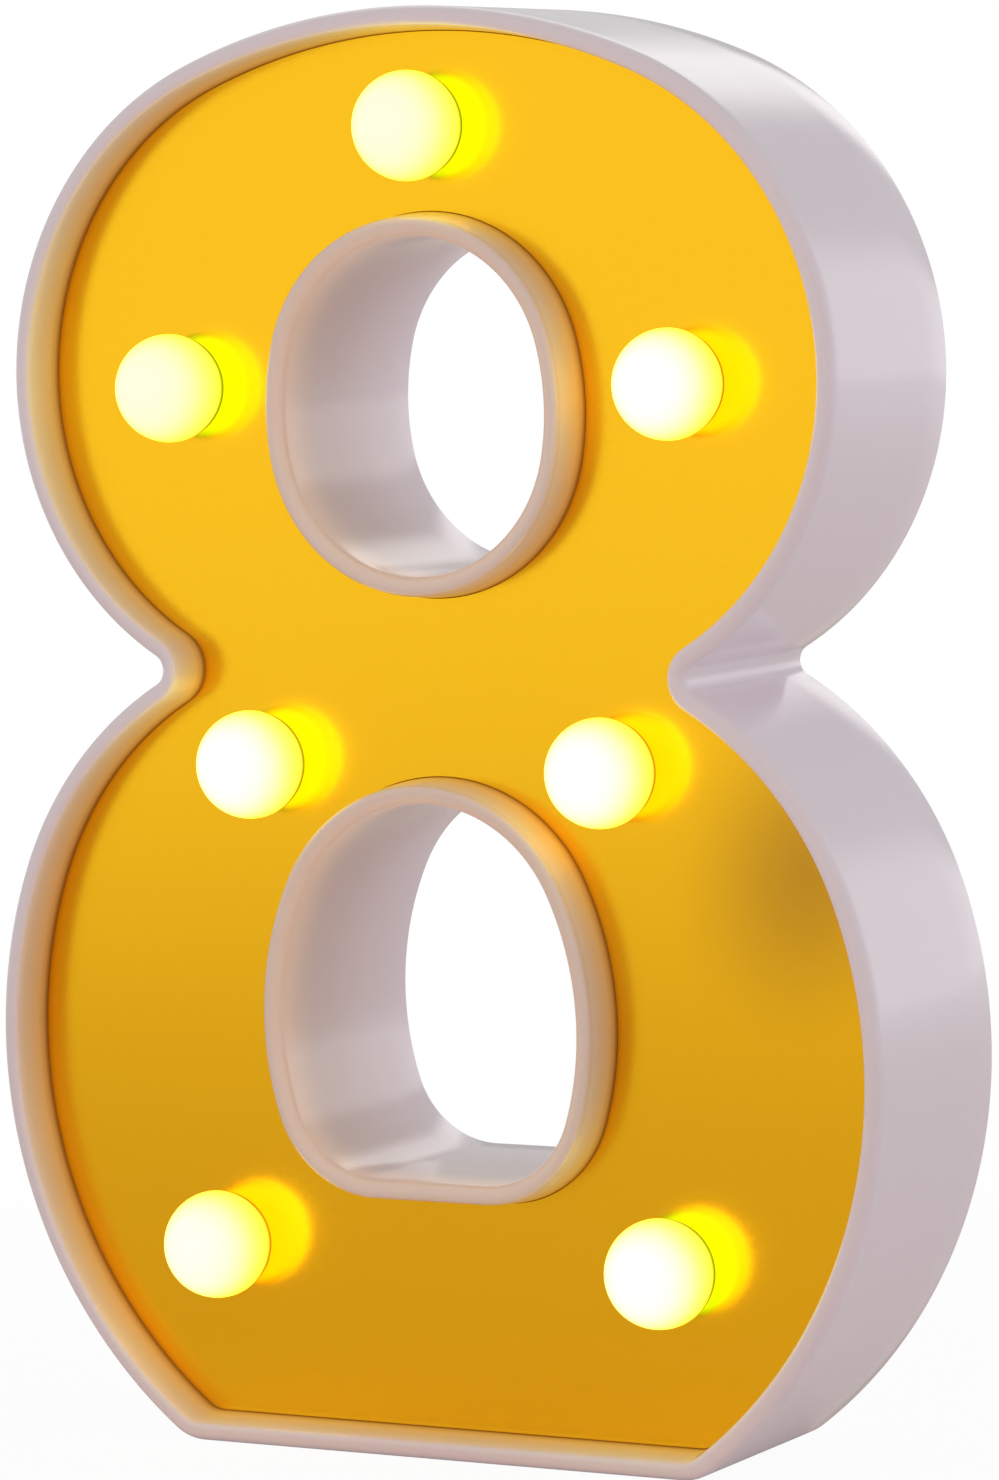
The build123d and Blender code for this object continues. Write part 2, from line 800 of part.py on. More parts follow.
def switch_screws():
    """Two small screws through the bracket's ears into the cover, heads inside."""
    screws = []
    seat = cover_front - bracket
    for side in (-1, 1):
        place = (switch_x, switch_z + side * bracket_hole_spacing / 2)
        head = post(place, small_screw_head_radius, seat - small_screw_head, seat)
        screws.append(head + post(place, small_screw_shank_radius, seat - small_screw_head / 2,
                                  seat + small_screw_length))
    return Compound(children=screws)


def cover_screws():
    """Nine screws from the back through the cover into the bosses."""
    screws = []
    seat = cover_back - screw_head
    for place in screw_places():
        head = post(place, screw_head_radius, seat, cover_back)
        screws.append(head + post(place, screw_shank_radius, seat - screw_length, seat + screw_head / 2))
    return Compound(children=screws)


def terminal_end():
    """Depth at which the switch's terminals end."""
    return cover_front - bracket - can_depth - terminal_length


def bus_point(side, index, step):
    """Place in X and Z on a lead that passes over the diodes, a step along its run at one bulb."""
    way = run_directions()[index]
    square = across_runs()[index]
    x = bulbs[index][0] + side * square[0] * leg_pitch / 2 + way.X * step
    z = bulbs[index][1] + side * square[1] * leg_pitch / 2 + way.Y * step
    return x, z


def supply_crossing(z):
    """Where the supply wire's straight run on the right passes a height, in X."""
    x1, z1 = bus_point(1, 2, diode_run_half)
    x2, z2 = bus_point(1, 3, -diode_run_half)
    return x1 + (x2 - x1) * (z - z1) / (z2 - z1)


def resistor():
    """Axial resistor between the switch's middle terminal and the supply wire, with its two bent legs."""
    end_x = supply_crossing(switch_z)
    axis_depth = terminal_end() - resistor_drop
    middle = (switch_x + end_x) / 2
    half = resistor_length / 2
    waist = half - resistor_cap
    profile = stepped([
        (0, -half), (resistor_radius, -half), (resistor_radius, -waist), (resistor_waist_radius, -waist),
        (resistor_waist_radius, waist), (resistor_radius, waist), (resistor_radius, half), (0, half)])
    solid = Pos(middle, axis_depth, switch_z) * (Rot(0, 0, degrees(pi / 2)) * profile)
    inside = half - resistor_cap / 2
    near_leg = [(switch_x, terminal_end() - solder_gap, switch_z), (switch_x, axis_depth, switch_z),
                (middle + inside, axis_depth, switch_z)]
    far_leg = [(end_x, supply_depth + lead_radius + solder_gap, switch_z), (end_x, axis_depth, switch_z),
               (middle - inside, axis_depth, switch_z)]
    for leg in (near_leg, far_leg):
        solid += tube(FilletPolyline(*leg, radius=[resistor_bend]), resistor_leg_radius)
    return solid


def battery_lead(points):
    """Insulated lead from a solder tab, along its own route."""
    path, radii = smooth_path(points)
    print("bend radii", [round(radius, 1) for radius in radii])
    return tube(path, lead_radius)


def battery_lead_red():
    """Lead from the positive contact's tab to the switch's lower terminal."""
    start = well_half_length + tab_reach + solder_gap
    end_z = switch_z - terminal_pitch
    low = terminal_end() - resistor_drop
    points = [
        (start, cell_depth, upper_cell_height), ((start + switch_x) / 2, cell_depth, upper_cell_height),
        (switch_x, cell_depth - lead_loop_rise, (upper_cell_height + end_z) / 2 - lead_loop_rise),
        (switch_x, low - lead_loop_rise, end_z - lead_loop_rise), (switch_x, low, end_z + lead_loop_rise / 4),
        (switch_x, terminal_end() - solder_gap, end_z)]
    return battery_lead(points)


def battery_lead_black():
    """Lead from the negative contact's tab to the return wire's end below the lower right diode."""
    start = well_half_length + tab_reach + solder_gap
    end_x, end_z = bus_point(-1, 3, diode_run_half - lead_radius)
    end_depth = return_depth + lead_radius + solder_gap
    middle_depth = (cell_depth + end_depth) / 2
    turn_x = start + lead_loop_rise
    points = [
        (start, cell_depth, lower_cell_height), (turn_x, cell_depth, lower_cell_height),
        ((turn_x + end_x) / 2, middle_depth + lead_loop_rise / 2, (lower_cell_height + end_z) / 2),
        (end_x, middle_depth, end_z), (end_x, end_depth, end_z)]
    return battery_lead(points)


def main():
    """Write every node of the light."""
    save(front_shell(), "front_shell")
    save(face_panel(), "face_panel")
    save(back_cover(), "back_cover")
    save(battery_door(), "battery_door")
    cap = bulb_cap()
    plug = diode_plug()
    for number, (place, across) in enumerate(zip(bulbs, across_runs()), start=1):
        there = Pos(place[0], 0, place[1])
        save(there * cap, f"bulb_cap_{number}")
        save(there * plug, f"led_holder_{number}")
        save(there * diode(across), f"led_{number}")
    save(cell(-1, lower_cell_height), "cell_1")
    save(cell(1, upper_cell_height), "cell_2")
    low, high = lower_cell_height, upper_cell_height
    reach = contact_half_width
    save(contact_plate(high - reach, high + reach) + dimple(high) + tab(high), "contact_positive")
    save(contact_plate(low - reach, low + reach) + tab(low), "contact_negative")
    bridge = contact_plate(low - reach, high + reach) + dimple(low)
    save(mirror(bridge, about=Plane.YZ), "contact_bridge")
    save(contact_spring(1, low), "contact_spring_1")
    save(contact_spring(-1, high), "contact_spring_2")
    save(switch_body(), "switch_body")
    save(switch_knob(), "switch_knob")
    save(switch_screws(), "switch_screws")
    save(cover_screws(), "cover_screws")
    save(resistor(), "resistor")
    save(bus_wire(1, supply_depth), "supply_wire")
    save(bus_wire(-1, return_depth), "return_wire")
    save(battery_lead_red(), "battery_lead_red")
    save(battery_lead_black(), "battery_lead_black")


main()
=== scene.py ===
# %% [markdown]
# This lamp is a figure eight of white moulded plastic, with a gold mirror sheet in its face and seven lit
# ball caps. The CAD model gives every piece its place and size. This script loads it as a fixed frame and
# dresses it: pieces with large smooth curves are built again from the same arcs with fine, rounded meshes,
# and the others get a finish.

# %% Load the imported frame
import json
from math import asin, atan2, ceil, cos, degrees, pi, radians, sin, sqrt, tan

import bmesh
import bpy
from mathutils import Matrix, Vector


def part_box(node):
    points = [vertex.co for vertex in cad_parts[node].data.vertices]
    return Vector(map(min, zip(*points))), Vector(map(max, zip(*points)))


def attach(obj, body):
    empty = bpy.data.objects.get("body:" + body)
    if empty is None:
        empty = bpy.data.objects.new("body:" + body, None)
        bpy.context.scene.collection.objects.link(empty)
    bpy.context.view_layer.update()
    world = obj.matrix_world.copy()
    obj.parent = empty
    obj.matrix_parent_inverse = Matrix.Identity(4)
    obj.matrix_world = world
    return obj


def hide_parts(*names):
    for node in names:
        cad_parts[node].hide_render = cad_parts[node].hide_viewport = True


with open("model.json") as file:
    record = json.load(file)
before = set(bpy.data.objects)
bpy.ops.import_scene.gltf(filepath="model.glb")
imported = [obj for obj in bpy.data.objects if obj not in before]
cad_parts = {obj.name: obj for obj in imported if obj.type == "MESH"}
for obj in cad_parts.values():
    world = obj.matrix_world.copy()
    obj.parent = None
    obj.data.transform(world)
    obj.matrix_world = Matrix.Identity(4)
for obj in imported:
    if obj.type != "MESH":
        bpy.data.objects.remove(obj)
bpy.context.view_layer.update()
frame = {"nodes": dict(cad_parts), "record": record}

# %% [markdown]
# Sizes are written in millimetres, as on the drawing of the lamp, and turned to metres in one place, where a
# mesh is made. X runs to the right seen from the front, Y from the front to the back and Z up. The outline
# follows from the height, the half widths and a few shares of them.

# %% Sizes of the housing
MM = 0.001
height, upper_half_width, lower_half_width, foot_half_width = 220.0, 70.4, 76.0, 44.2
upper_widest, lower_widest = 0.747 * height, 0.281 * height
upper_floor, lower_roof = 0.523 * height, 0.570 * height
upper_floor_half, lower_roof_half = 0.301 * upper_half_width, 0.234 * lower_half_width
crown_share, hip_share, roof_share = 0.296, 0.5, 0.761
neck_radius, foot_corner_radius = 2.5, 8.0
front, back = -20.0, 20.0
wall, lip, lip_outer_round, lip_inner_round, rim_round, recess_draft = 2.3, 2.9, 1.9, 0.9, 0.35, 0.8
sheet_front, web_front, web_back = -12.25, -11.35, -9.35
cover_front, cover_back = 16.4, 19.0
print("housing", 2 * lower_half_width, "by", back - front, "by", height, "mm")

# %% [markdown]
# The outline is a chain of arcs that run smoothly into each other. A quarter of a bowl is two arcs, and the
# CAD model fixes them by one share, so the same small sum gives the same arcs here. Each point of an outline
# carries the direction out of the solid, because a wall, a lip or a recess is then only a step along that
# direction.

# %% Arcs of the outline
def quarter(span, rise, share):
    """Radius and turn of the end arc, then of the side arc, that together span and rise so much."""
    square = pi / 2
    least = max(0, square - 2 * atan2(span, rise))
    greatest = min(square, 2 * atan2(rise, span))
    turn = least + share * (greatest - least)
    s, c = sin(turn), cos(turn)
    both = s * c - (1 - s) * (1 - c)
    end, side = (c * span - (1 - s) * rise) / both, (s * rise - (1 - c) * span) / both
    return (end, turn), (side, square - turn)


def arc(centre, radius, start, end, out=1, step=1.0):
    """Points along an arc, each with its direction out of the solid; the last one is left to the next arc."""
    count = max(2, ceil(abs(end - start) * radius / step))
    row = []
    for i in range(count):
        angle = start + (end - start) * i / count
        way = Vector((cos(angle), sin(angle)))
        row.append((centre + way * radius, way * out))
    return row


def straight(start, end, out, step=4.0):
    """Points along a straight stretch, the last one left out."""
    count = max(1, ceil((end - start).length / step))
    return [(start.lerp(end, i / count), out) for i in range(count)]


def both_sides(right):
    """The whole loop from its right side, which runs from the top middle to the bottom middle."""
    left = [(Vector((-p.x, p.y)), Vector((-n.x, n.y))) for p, n in reversed(right)]
    return right + left[(right[-1][0].x < 1e-6):-1 if right[0][0].x < 1e-6 else None]


# %% [markdown]
# The two bowls of the eight meet at a notch on each side, which a small hollow arc rounds out. Its centre is
# as far outside both bowls as its radius, so it lies where two circles cross. The foot's corner is found in
# the same way, inside the long arc of the flank.

# %% Outline of the housing
def crossing(a, ra, b, rb):
    """Where two circles cross, on the left of the line from the first centre to the second."""
    gap = b - a
    along = (ra * ra - rb * rb + gap.length_squared) / (2 * gap.length)
    up = sqrt(ra * ra - along * along)
    way = gap.normalized()
    return a + way * along + Vector((-way.y, way.x)) * up


def heading(a, b):
    """Angle of the line from one point to another."""
    return atan2(b.y - a.y, b.x - a.x)


def housing_outline():
    """Loop of the figure eight seen from the front, clockwise from the top, without its two counters."""
    (crown, crown_turn), (side, _) = quarter(upper_half_width, height - upper_widest, crown_share)
    crown_centre = Vector((0, height - crown))
    side_centre = Vector((upper_half_width - side, upper_widest))
    (hip, _), (under, under_turn) = quarter(
        upper_half_width - upper_floor_half, upper_widest - upper_floor, hip_share)
    under_centre = Vector((upper_half_width - under, upper_widest))
    hip_centre = Vector((upper_floor_half, upper_floor + hip))
    (roof, _), (over, over_turn) = quarter(
        lower_half_width - lower_roof_half, lower_roof - lower_widest, roof_share)
    roof_centre = Vector((lower_roof_half, lower_roof - roof))
    over_centre = Vector((lower_half_width - over, lower_widest))
    draw_in = lower_half_width - foot_half_width
    flank = (draw_in ** 2 + lower_widest ** 2) / (2 * draw_in)
    flank_centre = Vector((lower_half_width - flank, lower_widest))
    corner = Vector((0, foot_corner_radius))
    corner.x = flank_centre.x + sqrt((flank - foot_corner_radius) ** 2 - (corner.y - flank_centre.y) ** 2)
    corner_start = heading(flank_centre, corner)
    neck = crossing(hip_centre, hip + neck_radius, roof_centre, roof + neck_radius)
    into_neck, out_of_neck = heading(hip_centre, neck), heading(roof_centre, neck)
    right = arc(crown_centre, crown, pi / 2, pi / 2 - crown_turn)
    right += arc(side_centre, side, pi / 2 - crown_turn, 0)
    right += arc(under_centre, under, 0, -under_turn)
    right += arc(hip_centre, hip, -under_turn, into_neck)
    right += arc(neck, neck_radius, into_neck + pi, out_of_neck - pi + 2 * pi, -1, 0.4)
    right += arc(roof_centre, roof, out_of_neck, over_turn)
    right += arc(over_centre, over, over_turn, 0)
    right += arc(flank_centre, flank, 0, corner_start)
    right += arc(corner, foot_corner_radius, corner_start, -pi / 2, 1, 0.6)
    right += straight(Vector((corner.x, 0)), Vector((0, 0)), Vector((0, -1)))
    return both_sides(right + [(Vector((0, 0)), Vector((0, -1)))])


outline = housing_outline()
print("outline points", len(outline), "right", round(max(p.x for p, n in outline), 2))

# %% [markdown]
# The counters, the two holes of the eight, are loops of the same kind, but the solid is outside them. Their
# directions are turned round, so that one sweep serves the outer wall and both inner walls.

# %% Outlines of the counters
middle, half_waist, top_bar, low_bar = 0.5337 * height, 17.2, 34.3, 42.7
upper_hole_half, lower_hole_half = 22.3, 25.4


def counter_outline(top, bottom, widest_share, half_width, floor_half, roof_share, floor_share):
    """Loop of a counter, clockwise from the top, with its directions into the hole."""
    widest = bottom + widest_share * (top - bottom)
    (roof, _), (over, over_turn) = quarter(half_width, top - widest, roof_share)
    (floor, _), (under, under_turn) = quarter(half_width - floor_half, widest - bottom, floor_share)
    right = arc(Vector((0, top - roof)), roof, pi / 2, over_turn, -1, 0.8)
    right += arc(Vector((half_width - over, widest)), over, over_turn, 0, -1, 0.8)
    right += arc(Vector((half_width - under, widest)), under, 0, -under_turn, -1, 0.8)
    right += arc(Vector((floor_half, bottom + floor)), floor, -under_turn, -pi / 2, -1, 0.8)
    if floor_half:
        right += straight(Vector((floor_half, bottom)), Vector((0, bottom)), Vector((0, 1)))
    return both_sides(right + [(Vector((0, bottom)), Vector((0, 1)))])


counters = (
    counter_outline(height - top_bar, middle + half_waist, 0.489, upper_hole_half, 0, 0.827, 0.863),
    counter_outline(
        middle - half_waist, low_bar, 0.419, lower_hole_half, 0.374 * lower_hole_half, 0.660, 0.732))
loops = (outline,) + counters
print("counter points", [len(loop) for loop in counters])

# %% [markdown]
# Colours are chosen as web colours, which are sRGB. Blender mixes light in linear values, so one function
# turns the hex code into linear red, green and blue.

# %% Colour from a hex code
def linear(code):
    """Linear colour with alpha from an sRGB hex code."""
    parts = [int(code[i:i + 2], 16) / 255 for i in (1, 3, 5)]
    return [c / 12.92 if c <= 0.04045 else ((c + 0.055) / 1.055) ** 2.4 for c in parts] + [1]


# %% [markdown]
# Every finish is a few shader nodes. One helper adds a node, sets its fields and fills its sockets with a
# value or with another node's output. Settings that many nodes share have a name here.

# %% A node with its settings and links
soft_range = {"interpolation_type": "SMOOTHSTEP"}
colour_mix = {"data_type": "RGBA"}
tint_mix = {"data_type": "RGBA", "blend_type": "MULTIPLY"}
times, larger = {"operation": "MULTIPLY"}, {"operation": "MAXIMUM"}


def add(tree, kind, fields=(), **inputs):
    """Add a node. A socket's name is written with underscores, or as _ and its number. A socket or a node as
    a value becomes a link, from a node's first output."""
    made = tree.nodes.new("ShaderNode" + kind)
    for name, value in dict(fields).items():
        setattr(made, name, value)
    for name, value in inputs.items():
        socket = made.inputs[int(name[1:]) if name[1:].isdigit() else name.replace("_", " ")]
        if isinstance(value, bpy.types.Node):
            value = value.outputs[0]
        if isinstance(value, bpy.types.NodeSocket):
            tree.links.new(value, socket)
        else:
            socket.default_value = value
    return made


def finish_named(name):
    """An empty material and its node tree."""
    material = bpy.data.materials.new(name)
    material.use_nodes = True
    material.node_tree.nodes.clear()
    return material, material.node_tree


def shown(material, shader):
    """The material, once its shader leads to the output."""
    add(material.node_tree, "OutputMaterial", Surface=shader)
    print(material.name, "with", len(material.node_tree.nodes), "nodes")
    return material


# %% [markdown]
# No real surface is even, and that is what makes it look real. Two patterns serve every finish of this lamp:
# small bumps that bend the light, and patches that are a little duller than their surroundings. Both are
# noise, and the scale of a noise is how many of its grains go into a metre, so it follows from the size of
# one grain.

# %% Bumps and duller patches
def bumps(tree, size, strength, rise, place=None, **more):
    """Normals bent by bumps of a size and a rise in millimetres."""
    place = place or add(tree, "TexCoord").outputs["Object"]
    noise = add(tree, "TexNoise", Vector=place, Scale=1 / (size * MM), **more)
    return add(tree, "Bump", Height=noise, Strength=strength, Distance=rise * MM)


def patches(tree, size, shiny, dull, place=None, **more):
    """Noise of patches of a size in millimetres, and the roughness that it gives, from shiny to dull."""
    place = place or add(tree, "TexCoord").outputs["Object"]
    noise = add(tree, "TexNoise", Vector=place, Scale=1 / (size * MM), **more)
    return noise, add(tree, "MapRange", Value=noise, From_Min=0.3, From_Max=0.7, To_Min=shiny, To_Max=dull)


# %% [markdown]
# A colour ramp turns a number from 0 to 1 into a colour between stops. Its stops stay in order by
# themselves, so each is made at its own place first and coloured afterwards.

# %% Stops of a colour ramp
def colour_stops(ramp, stops):
    """Give a ramp its stops, pairs of place and hex code or linear colour, in rising order."""
    ramp.elements[-1].position = stops[-1][0]
    for spot, _ in stops[1:-1]:
        ramp.elements.new(spot)
    for element, (_, colour) in zip(ramp.elements, stops):
        element.color = linear(colour) if isinstance(colour, str) else colour


# %% [markdown]
# ABS, acrylonitrile butadiene styrene, is the plastic of toys and housings. Moulded in a polished steel tool
# it comes out glossy, with a faint orange peel: swells of about 4 mm that make straight reflections waver.
# White ABS leans towards lavender grey beside a warm light. Deep in the recess, where it meets the gold
# sheet, its colour is painted darker and amber, a painted shade with painted amber light from the gold, which
# climbs the wall. The narrow walls of the counters get a painted glow, an emission that stands for warm
# light, most of all near the lip, where the balls are close. The mesh says how strong the painted amber and
# the painted glow are at a point, in two attributes of its own, and the colour and the emission follow them.

# %% Glossy white ABS
def moulded_abs():
    material, tree = finish_named("glossy_white_abs")
    # Painted shade and painted amber light: the ramp turns the white darker and amber as the corner attribute
    # rises.
    colour = add(tree, "ValToRGB", Fac=add(tree, "Attribute", {"attribute_name": "corner"}).outputs["Fac"])
    colour_stops(colour.color_ramp, (
        (0, "#ece1e6"), (0.12, "#e4d6d2"), (0.4, "#e8c59c"), (0.7, "#c9945a"), (1, "#7e4a1c")))
    # Painted glow: the plastic itself emits warm light where the through attribute says.
    through = add(tree, "Attribute", {"attribute_name": "through"}).outputs["Fac"]
    glow = add(tree, "Math", times, _0=through, _1=0.12)
    _, gloss = patches(tree, 16.7, 0.1, 0.17, Detail=4.0, Roughness=0.6)
    return shown(material, add(
        tree, "BsdfPrincipled", Base_Color=colour, Roughness=gloss, IOR=1.53,
        Emission_Color=linear("#ffc884"), Emission_Strength=glow, Normal=bumps(tree, 4, 0.03, 0.5)))


abs_white = moulded_abs()

# %% [markdown]
# The face is a sheet of gold mirror film on plastic. It is a metal coating, so its colour is the colour of
# its reflection. The film is a little milky, which blurs what it mirrors, and never quite flat, so the
# picture of each bulb in it bends. Right of the lower counter the film's colour turns darker and olive in a
# soft patch.

# %% Gold mirror film
def gold_mirror():
    material, tree = finish_named("gold_mirror_film")
    place = add(tree, "TexCoord").outputs["Object"]
    # A soft patch right of the lower counter where the colour turns a darker olive.
    patch = add(tree, "Mapping", {"vector_type": "TEXTURE"}, Vector=place, Rotation=(0, radians(20), 0),
                Location=[MM * c for c in (62, -12, 92.5)], Scale=[MM * c for c in (25, 30, 31)])
    away = add(tree, "VectorMath", {"operation": "LENGTH"}, _0=patch).outputs["Value"]
    olive_patch = add(tree, "MapRange", soft_range, Value=away, To_Min=1.0, To_Max=0.0)
    colour = add(tree, "Mix", colour_mix, _0=olive_patch, _6=linear("#fdc321"), _7=linear("#cd992b")).outputs[2]
    _, blur = patches(tree, 1.11, 0.17, 0.23, Detail=3.0, Roughness=0.7)
    return shown(material, add(tree, "BsdfPrincipled", Base_Color=colour, Metallic=1.0, Roughness=blur,
                               Normal=bumps(tree, 55.6, 0.15, 0.5, Detail=1.0)))


gold_film = gold_mirror()

# %% [markdown]
# The ball caps are milky polystyrene over a warm white diode. The beam leaves the diode forwards, so the
# ball is almost white at its front pole and turns deep yellow round its sides, where only scattered light
# arrives. Diodes of one batch differ a little: some are creamier in front, and some throw a greener light
# backwards. Each cap's mesh says how much, in two attributes. At the limb of the ball the eye looks along
# the skin, so little of the light inside comes out there, and the skin mirrors what is round it in a dark
# tint. That dark mirror is a painted shade, strongest where the skin turns to the sheet, and draws a fine
# dark line there.

# %% Lit milky cap
def lit_cap():
    material, tree = finish_named("lit_milky_polystyrene")
    depth = add(tree, "SeparateXYZ", Vector=add(tree, "TexCoord").outputs["Normal"]).outputs["Y"]
    beam = add(tree, "ValToRGB", Fac=add(tree, "MapRange", Value=depth, From_Min=-1.0))
    colour_stops(beam.color_ramp, (
        (0, "#fff2bb"), (0.1, "#fff2b0"), (0.2, "#fff392"), (0.3, "#fff368"), (0.375, "#fff442"),
        (0.465, "#ffee22"), (0.6, "#ffe314"), (0.8, "#ffd90c"), (1, "#ffc206")))
    cream = add(tree, "Attribute", {"attribute_name": "cream"}).outputs["Fac"]
    warm = add(tree, "Mix", tint_mix, _0=cream, _6=beam, _7=(1.0, 0.97, 0.64, 1.0)).outputs[2]
    lemon = add(tree, "Attribute", {"attribute_name": "lemon"}).outputs["Fac"]
    behind = add(tree, "MapRange", soft_range, Value=depth, From_Min=0.1, From_Max=0.45)
    green = add(tree, "Math", times, _0=lemon, _1=behind)
    glow = add(tree, "Mix", tint_mix, _0=green, _6=warm, _7=(0.28, 1.45, 1.0, 1.0)).outputs[2]
    normal = bumps(tree, 2.5, 0.05, 0.3)
    lit = add(tree, "BsdfPrincipled", Base_Color=linear("#f0e29c"), Roughness=0.35, IOR=1.57,
              Emission_Color=glow, Emission_Strength=1.7, Normal=normal)
    # Painted shade: the skin's mirror is tinted dark.
    gleam = add(tree, "BsdfGlossy", Color=linear("#6a5a3c"), Roughness=0.1, Normal=normal)
    facing = add(tree, "LayerWeight", Blend=0.5).outputs["Facing"]
    limb = add(tree, "MapRange", soft_range, Value=facing, From_Min=0.4, From_Max=0.95)
    # The painted shade grows as the skin turns towards the sheet.
    painted_limb_shade = add(tree, "MapRange", soft_range, Value=depth, From_Min=-0.15, From_Max=0.3, To_Min=0.08,
               To_Max=0.96)
    share = add(tree, "Math", times, _0=limb, _1=painted_limb_shade)
    return shown(material, add(tree, "MixShader", _0=share, _1=lit, _2=gleam))


milky_cap = lit_cap()

# %% [markdown]
# A piece is made from plain lists of points and faces. The last step gives it its material, smooth shading
# with sharp edges where faces meet steeply and the CAD body that it rides on, and hides the CAD node that it
# stands for.

# %% From points to a finished piece
def new_object(name, data):
    """Object in the scene that shows some mesh, light or lens."""
    made = bpy.data.objects.new(name, data)
    bpy.context.scene.collection.objects.link(made)
    return made


def stored(mesh, name="blank"):
    """Mesh data with what a bmesh holds; the bmesh is freed."""
    data = bpy.data.meshes.new(name)
    mesh.to_mesh(data)
    mesh.free()
    return data


def piece(name, mesh, slot, replaced, *finishes, body="housing"):
    """Piece from a bmesh in millimetres; slot, the record's slot, is not used; replaced is the CAD node that
    it hides.
    """
    bmesh.ops.recalc_face_normals(mesh, faces=mesh.faces)
    bmesh.ops.scale(mesh, vec=(MM, MM, MM), verts=mesh.verts)
    data = stored(mesh, name)
    data.polygons.foreach_set("use_smooth", [True] * len(data.polygons))
    data.set_sharp_from_angle(angle=radians(35))
    for finish in finishes:
        data.materials.append(finish)
    made = new_object(name, data)
    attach(made, body)
    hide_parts(replaced)
    print(name, len(data.polygons), "faces")
    return made


# %% [markdown]
# Most walls here are swept: a section, drawn as steps inwards and depths, is pushed round a loop. Where
# sweeps end at one depth, a flat face closes them, with every inner loop as a hole in it.

# %% Sweeps and flat faces
def skin(mesh, rows):
    """Faces between each ring of points and the next."""
    for a, b in zip(rows, rows[1:]):
        for i in range(len(a)):
            j = (i + 1) % len(a)
            mesh.faces.new((a[i], a[j], b[j], b[i]))


def sweep(mesh, loop, section):
    """Wall with a ring of points for each place of the section, a step inwards and a depth."""
    rows = [[mesh.verts.new((p.x - n.x * inward, depth, p.y - n.y * inward)) for p, n in loop]
            for inward, depth in section]
    skin(mesh, rows)
    return rows


def flat_face(mesh, rings):
    """Triangles between an outer ring of points and the rings of its holes, all at one depth."""
    edges = []
    for ring in rings:
        for pair in zip(ring, ring[1:] + ring[:1]):
            edges.append(mesh.edges.get(pair) or mesh.edges.new(pair))
    bmesh.ops.triangle_fill(mesh, use_beauty=True, edges=edges, normal=(0, -1, 0))


def plate(sweeps, blind=()):
    """Plate from its sweeps, pairs of loop and section; blind holes are swept from its front only."""
    mesh = bmesh.new()
    ends = [sweep(mesh, loop, section) for loop, section in sweeps]
    fronts, backs = [rows[0] for rows in ends], [rows[-1] for rows in ends]
    for loop, section in blind:
        rows = sweep(mesh, loop, section)
        flat_face(mesh, [rows[-1]])
        fronts.append(rows[0])
    flat_face(mesh, fronts)
    flat_face(mesh, backs)
    return mesh


def round_hole(x, z, radius):
    """Loop of a round hole, its directions into the hole."""
    return arc(Vector((x, z)), radius, pi / 2, -3 * pi / 2, -1, 0.5)


def rounding(inward, depth, radius, start, end, count):
    """Places of a section along an arc, from one angle to another in degrees."""
    angles = [radians(start + (end - start) * i / count) for i in range(count + 1)]
    return [(inward + radius * cos(angle), depth + radius * sin(angle)) for angle in angles]


# %% [markdown]
# Round pieces are turned: half of a section is drawn once and swung round its axis. Ribs, slots and holes
# are worked as a toolmaker works them: a solid blank, then one tool after another adds or cuts, by Blender's
# exact boolean. Cutters run out of the lamp to a depth that is clear of everything.

# %% Turned pieces, blanks and cutters
clear = 21


def lathe(profile, x=0, z=0, count=64, closed=False):
    """Swing a section of radii and depths round an axis along Y; a radius of zero closes it, and a closed
    section joins its last place to its first."""
    mesh, rows = bmesh.new(), []
    for radius, depth in profile:
        angles = [2 * pi * i / count for i in range(count if radius else 1)]
        rows.append([mesh.verts.new((x + radius * cos(a), depth, z + radius * sin(a))) for a in angles])
    for a, b in zip(rows, rows[1:] + rows[:1] if closed else rows[1:]):
        for i in range(count):
            j = (i + 1) % count
            ring = [a[i % len(a)], a[j % len(a)], b[j % len(b)], b[i % len(b)]]
            mesh.faces.new(list(dict.fromkeys(ring)))
    return mesh


def post(x, z, radius, near, far, count=64):
    """Round bar along Y."""
    return lathe([(0, near), (radius, near), (radius, far), (0, far)], x, z, count)


def block(low, high):
    """Box between two opposite corners, as a blank or a cutter."""
    mesh = bmesh.new()
    size = [b - a for a, b in zip(low, high)]
    centre = [(a + b) / 2 for a, b in zip(low, high)]
    bmesh.ops.create_cube(mesh, size=1, matrix=Matrix.Translation(centre) @ Matrix.Diagonal((*size, 1)))
    return mesh


def moved(mesh, turn, axis, way):
    """A mesh turned by degrees about an axis of the lamp, then moved."""
    matrix = Matrix.Rotation(radians(turn), 3, axis)
    bmesh.ops.rotate(mesh, verts=mesh.verts, cent=(0, 0, 0), matrix=matrix)
    bmesh.ops.translate(mesh, verts=mesh.verts, vec=way)
    return mesh


def worked(blank, *steps):
    """The blank after each step, a pair of DIFFERENCE or UNION and its tool."""
    objects = []
    for mesh in (blank, *[tool for _, tool in steps]):
        bmesh.ops.recalc_face_normals(mesh, faces=mesh.faces)
        objects.append(new_object("blank", stored(mesh)))
    for (operation, _), tool in zip(steps, objects[1:]):
        cut = objects[0].modifiers.new("cut", "BOOLEAN")
        cut.operation, cut.object, cut.solver = operation, tool, "EXACT"
    result = bmesh.new()
    result.from_object(objects[0], bpy.context.evaluated_depsgraph_get())
    for made in objects:
        bpy.data.meshes.remove(made.data)
    bmesh.ops.remove_doubles(result, verts=result.verts, dist=0.002)
    bmesh.ops.dissolve_limit(result, angle_limit=radians(0.2), verts=result.verts, edges=result.edges)
    return result


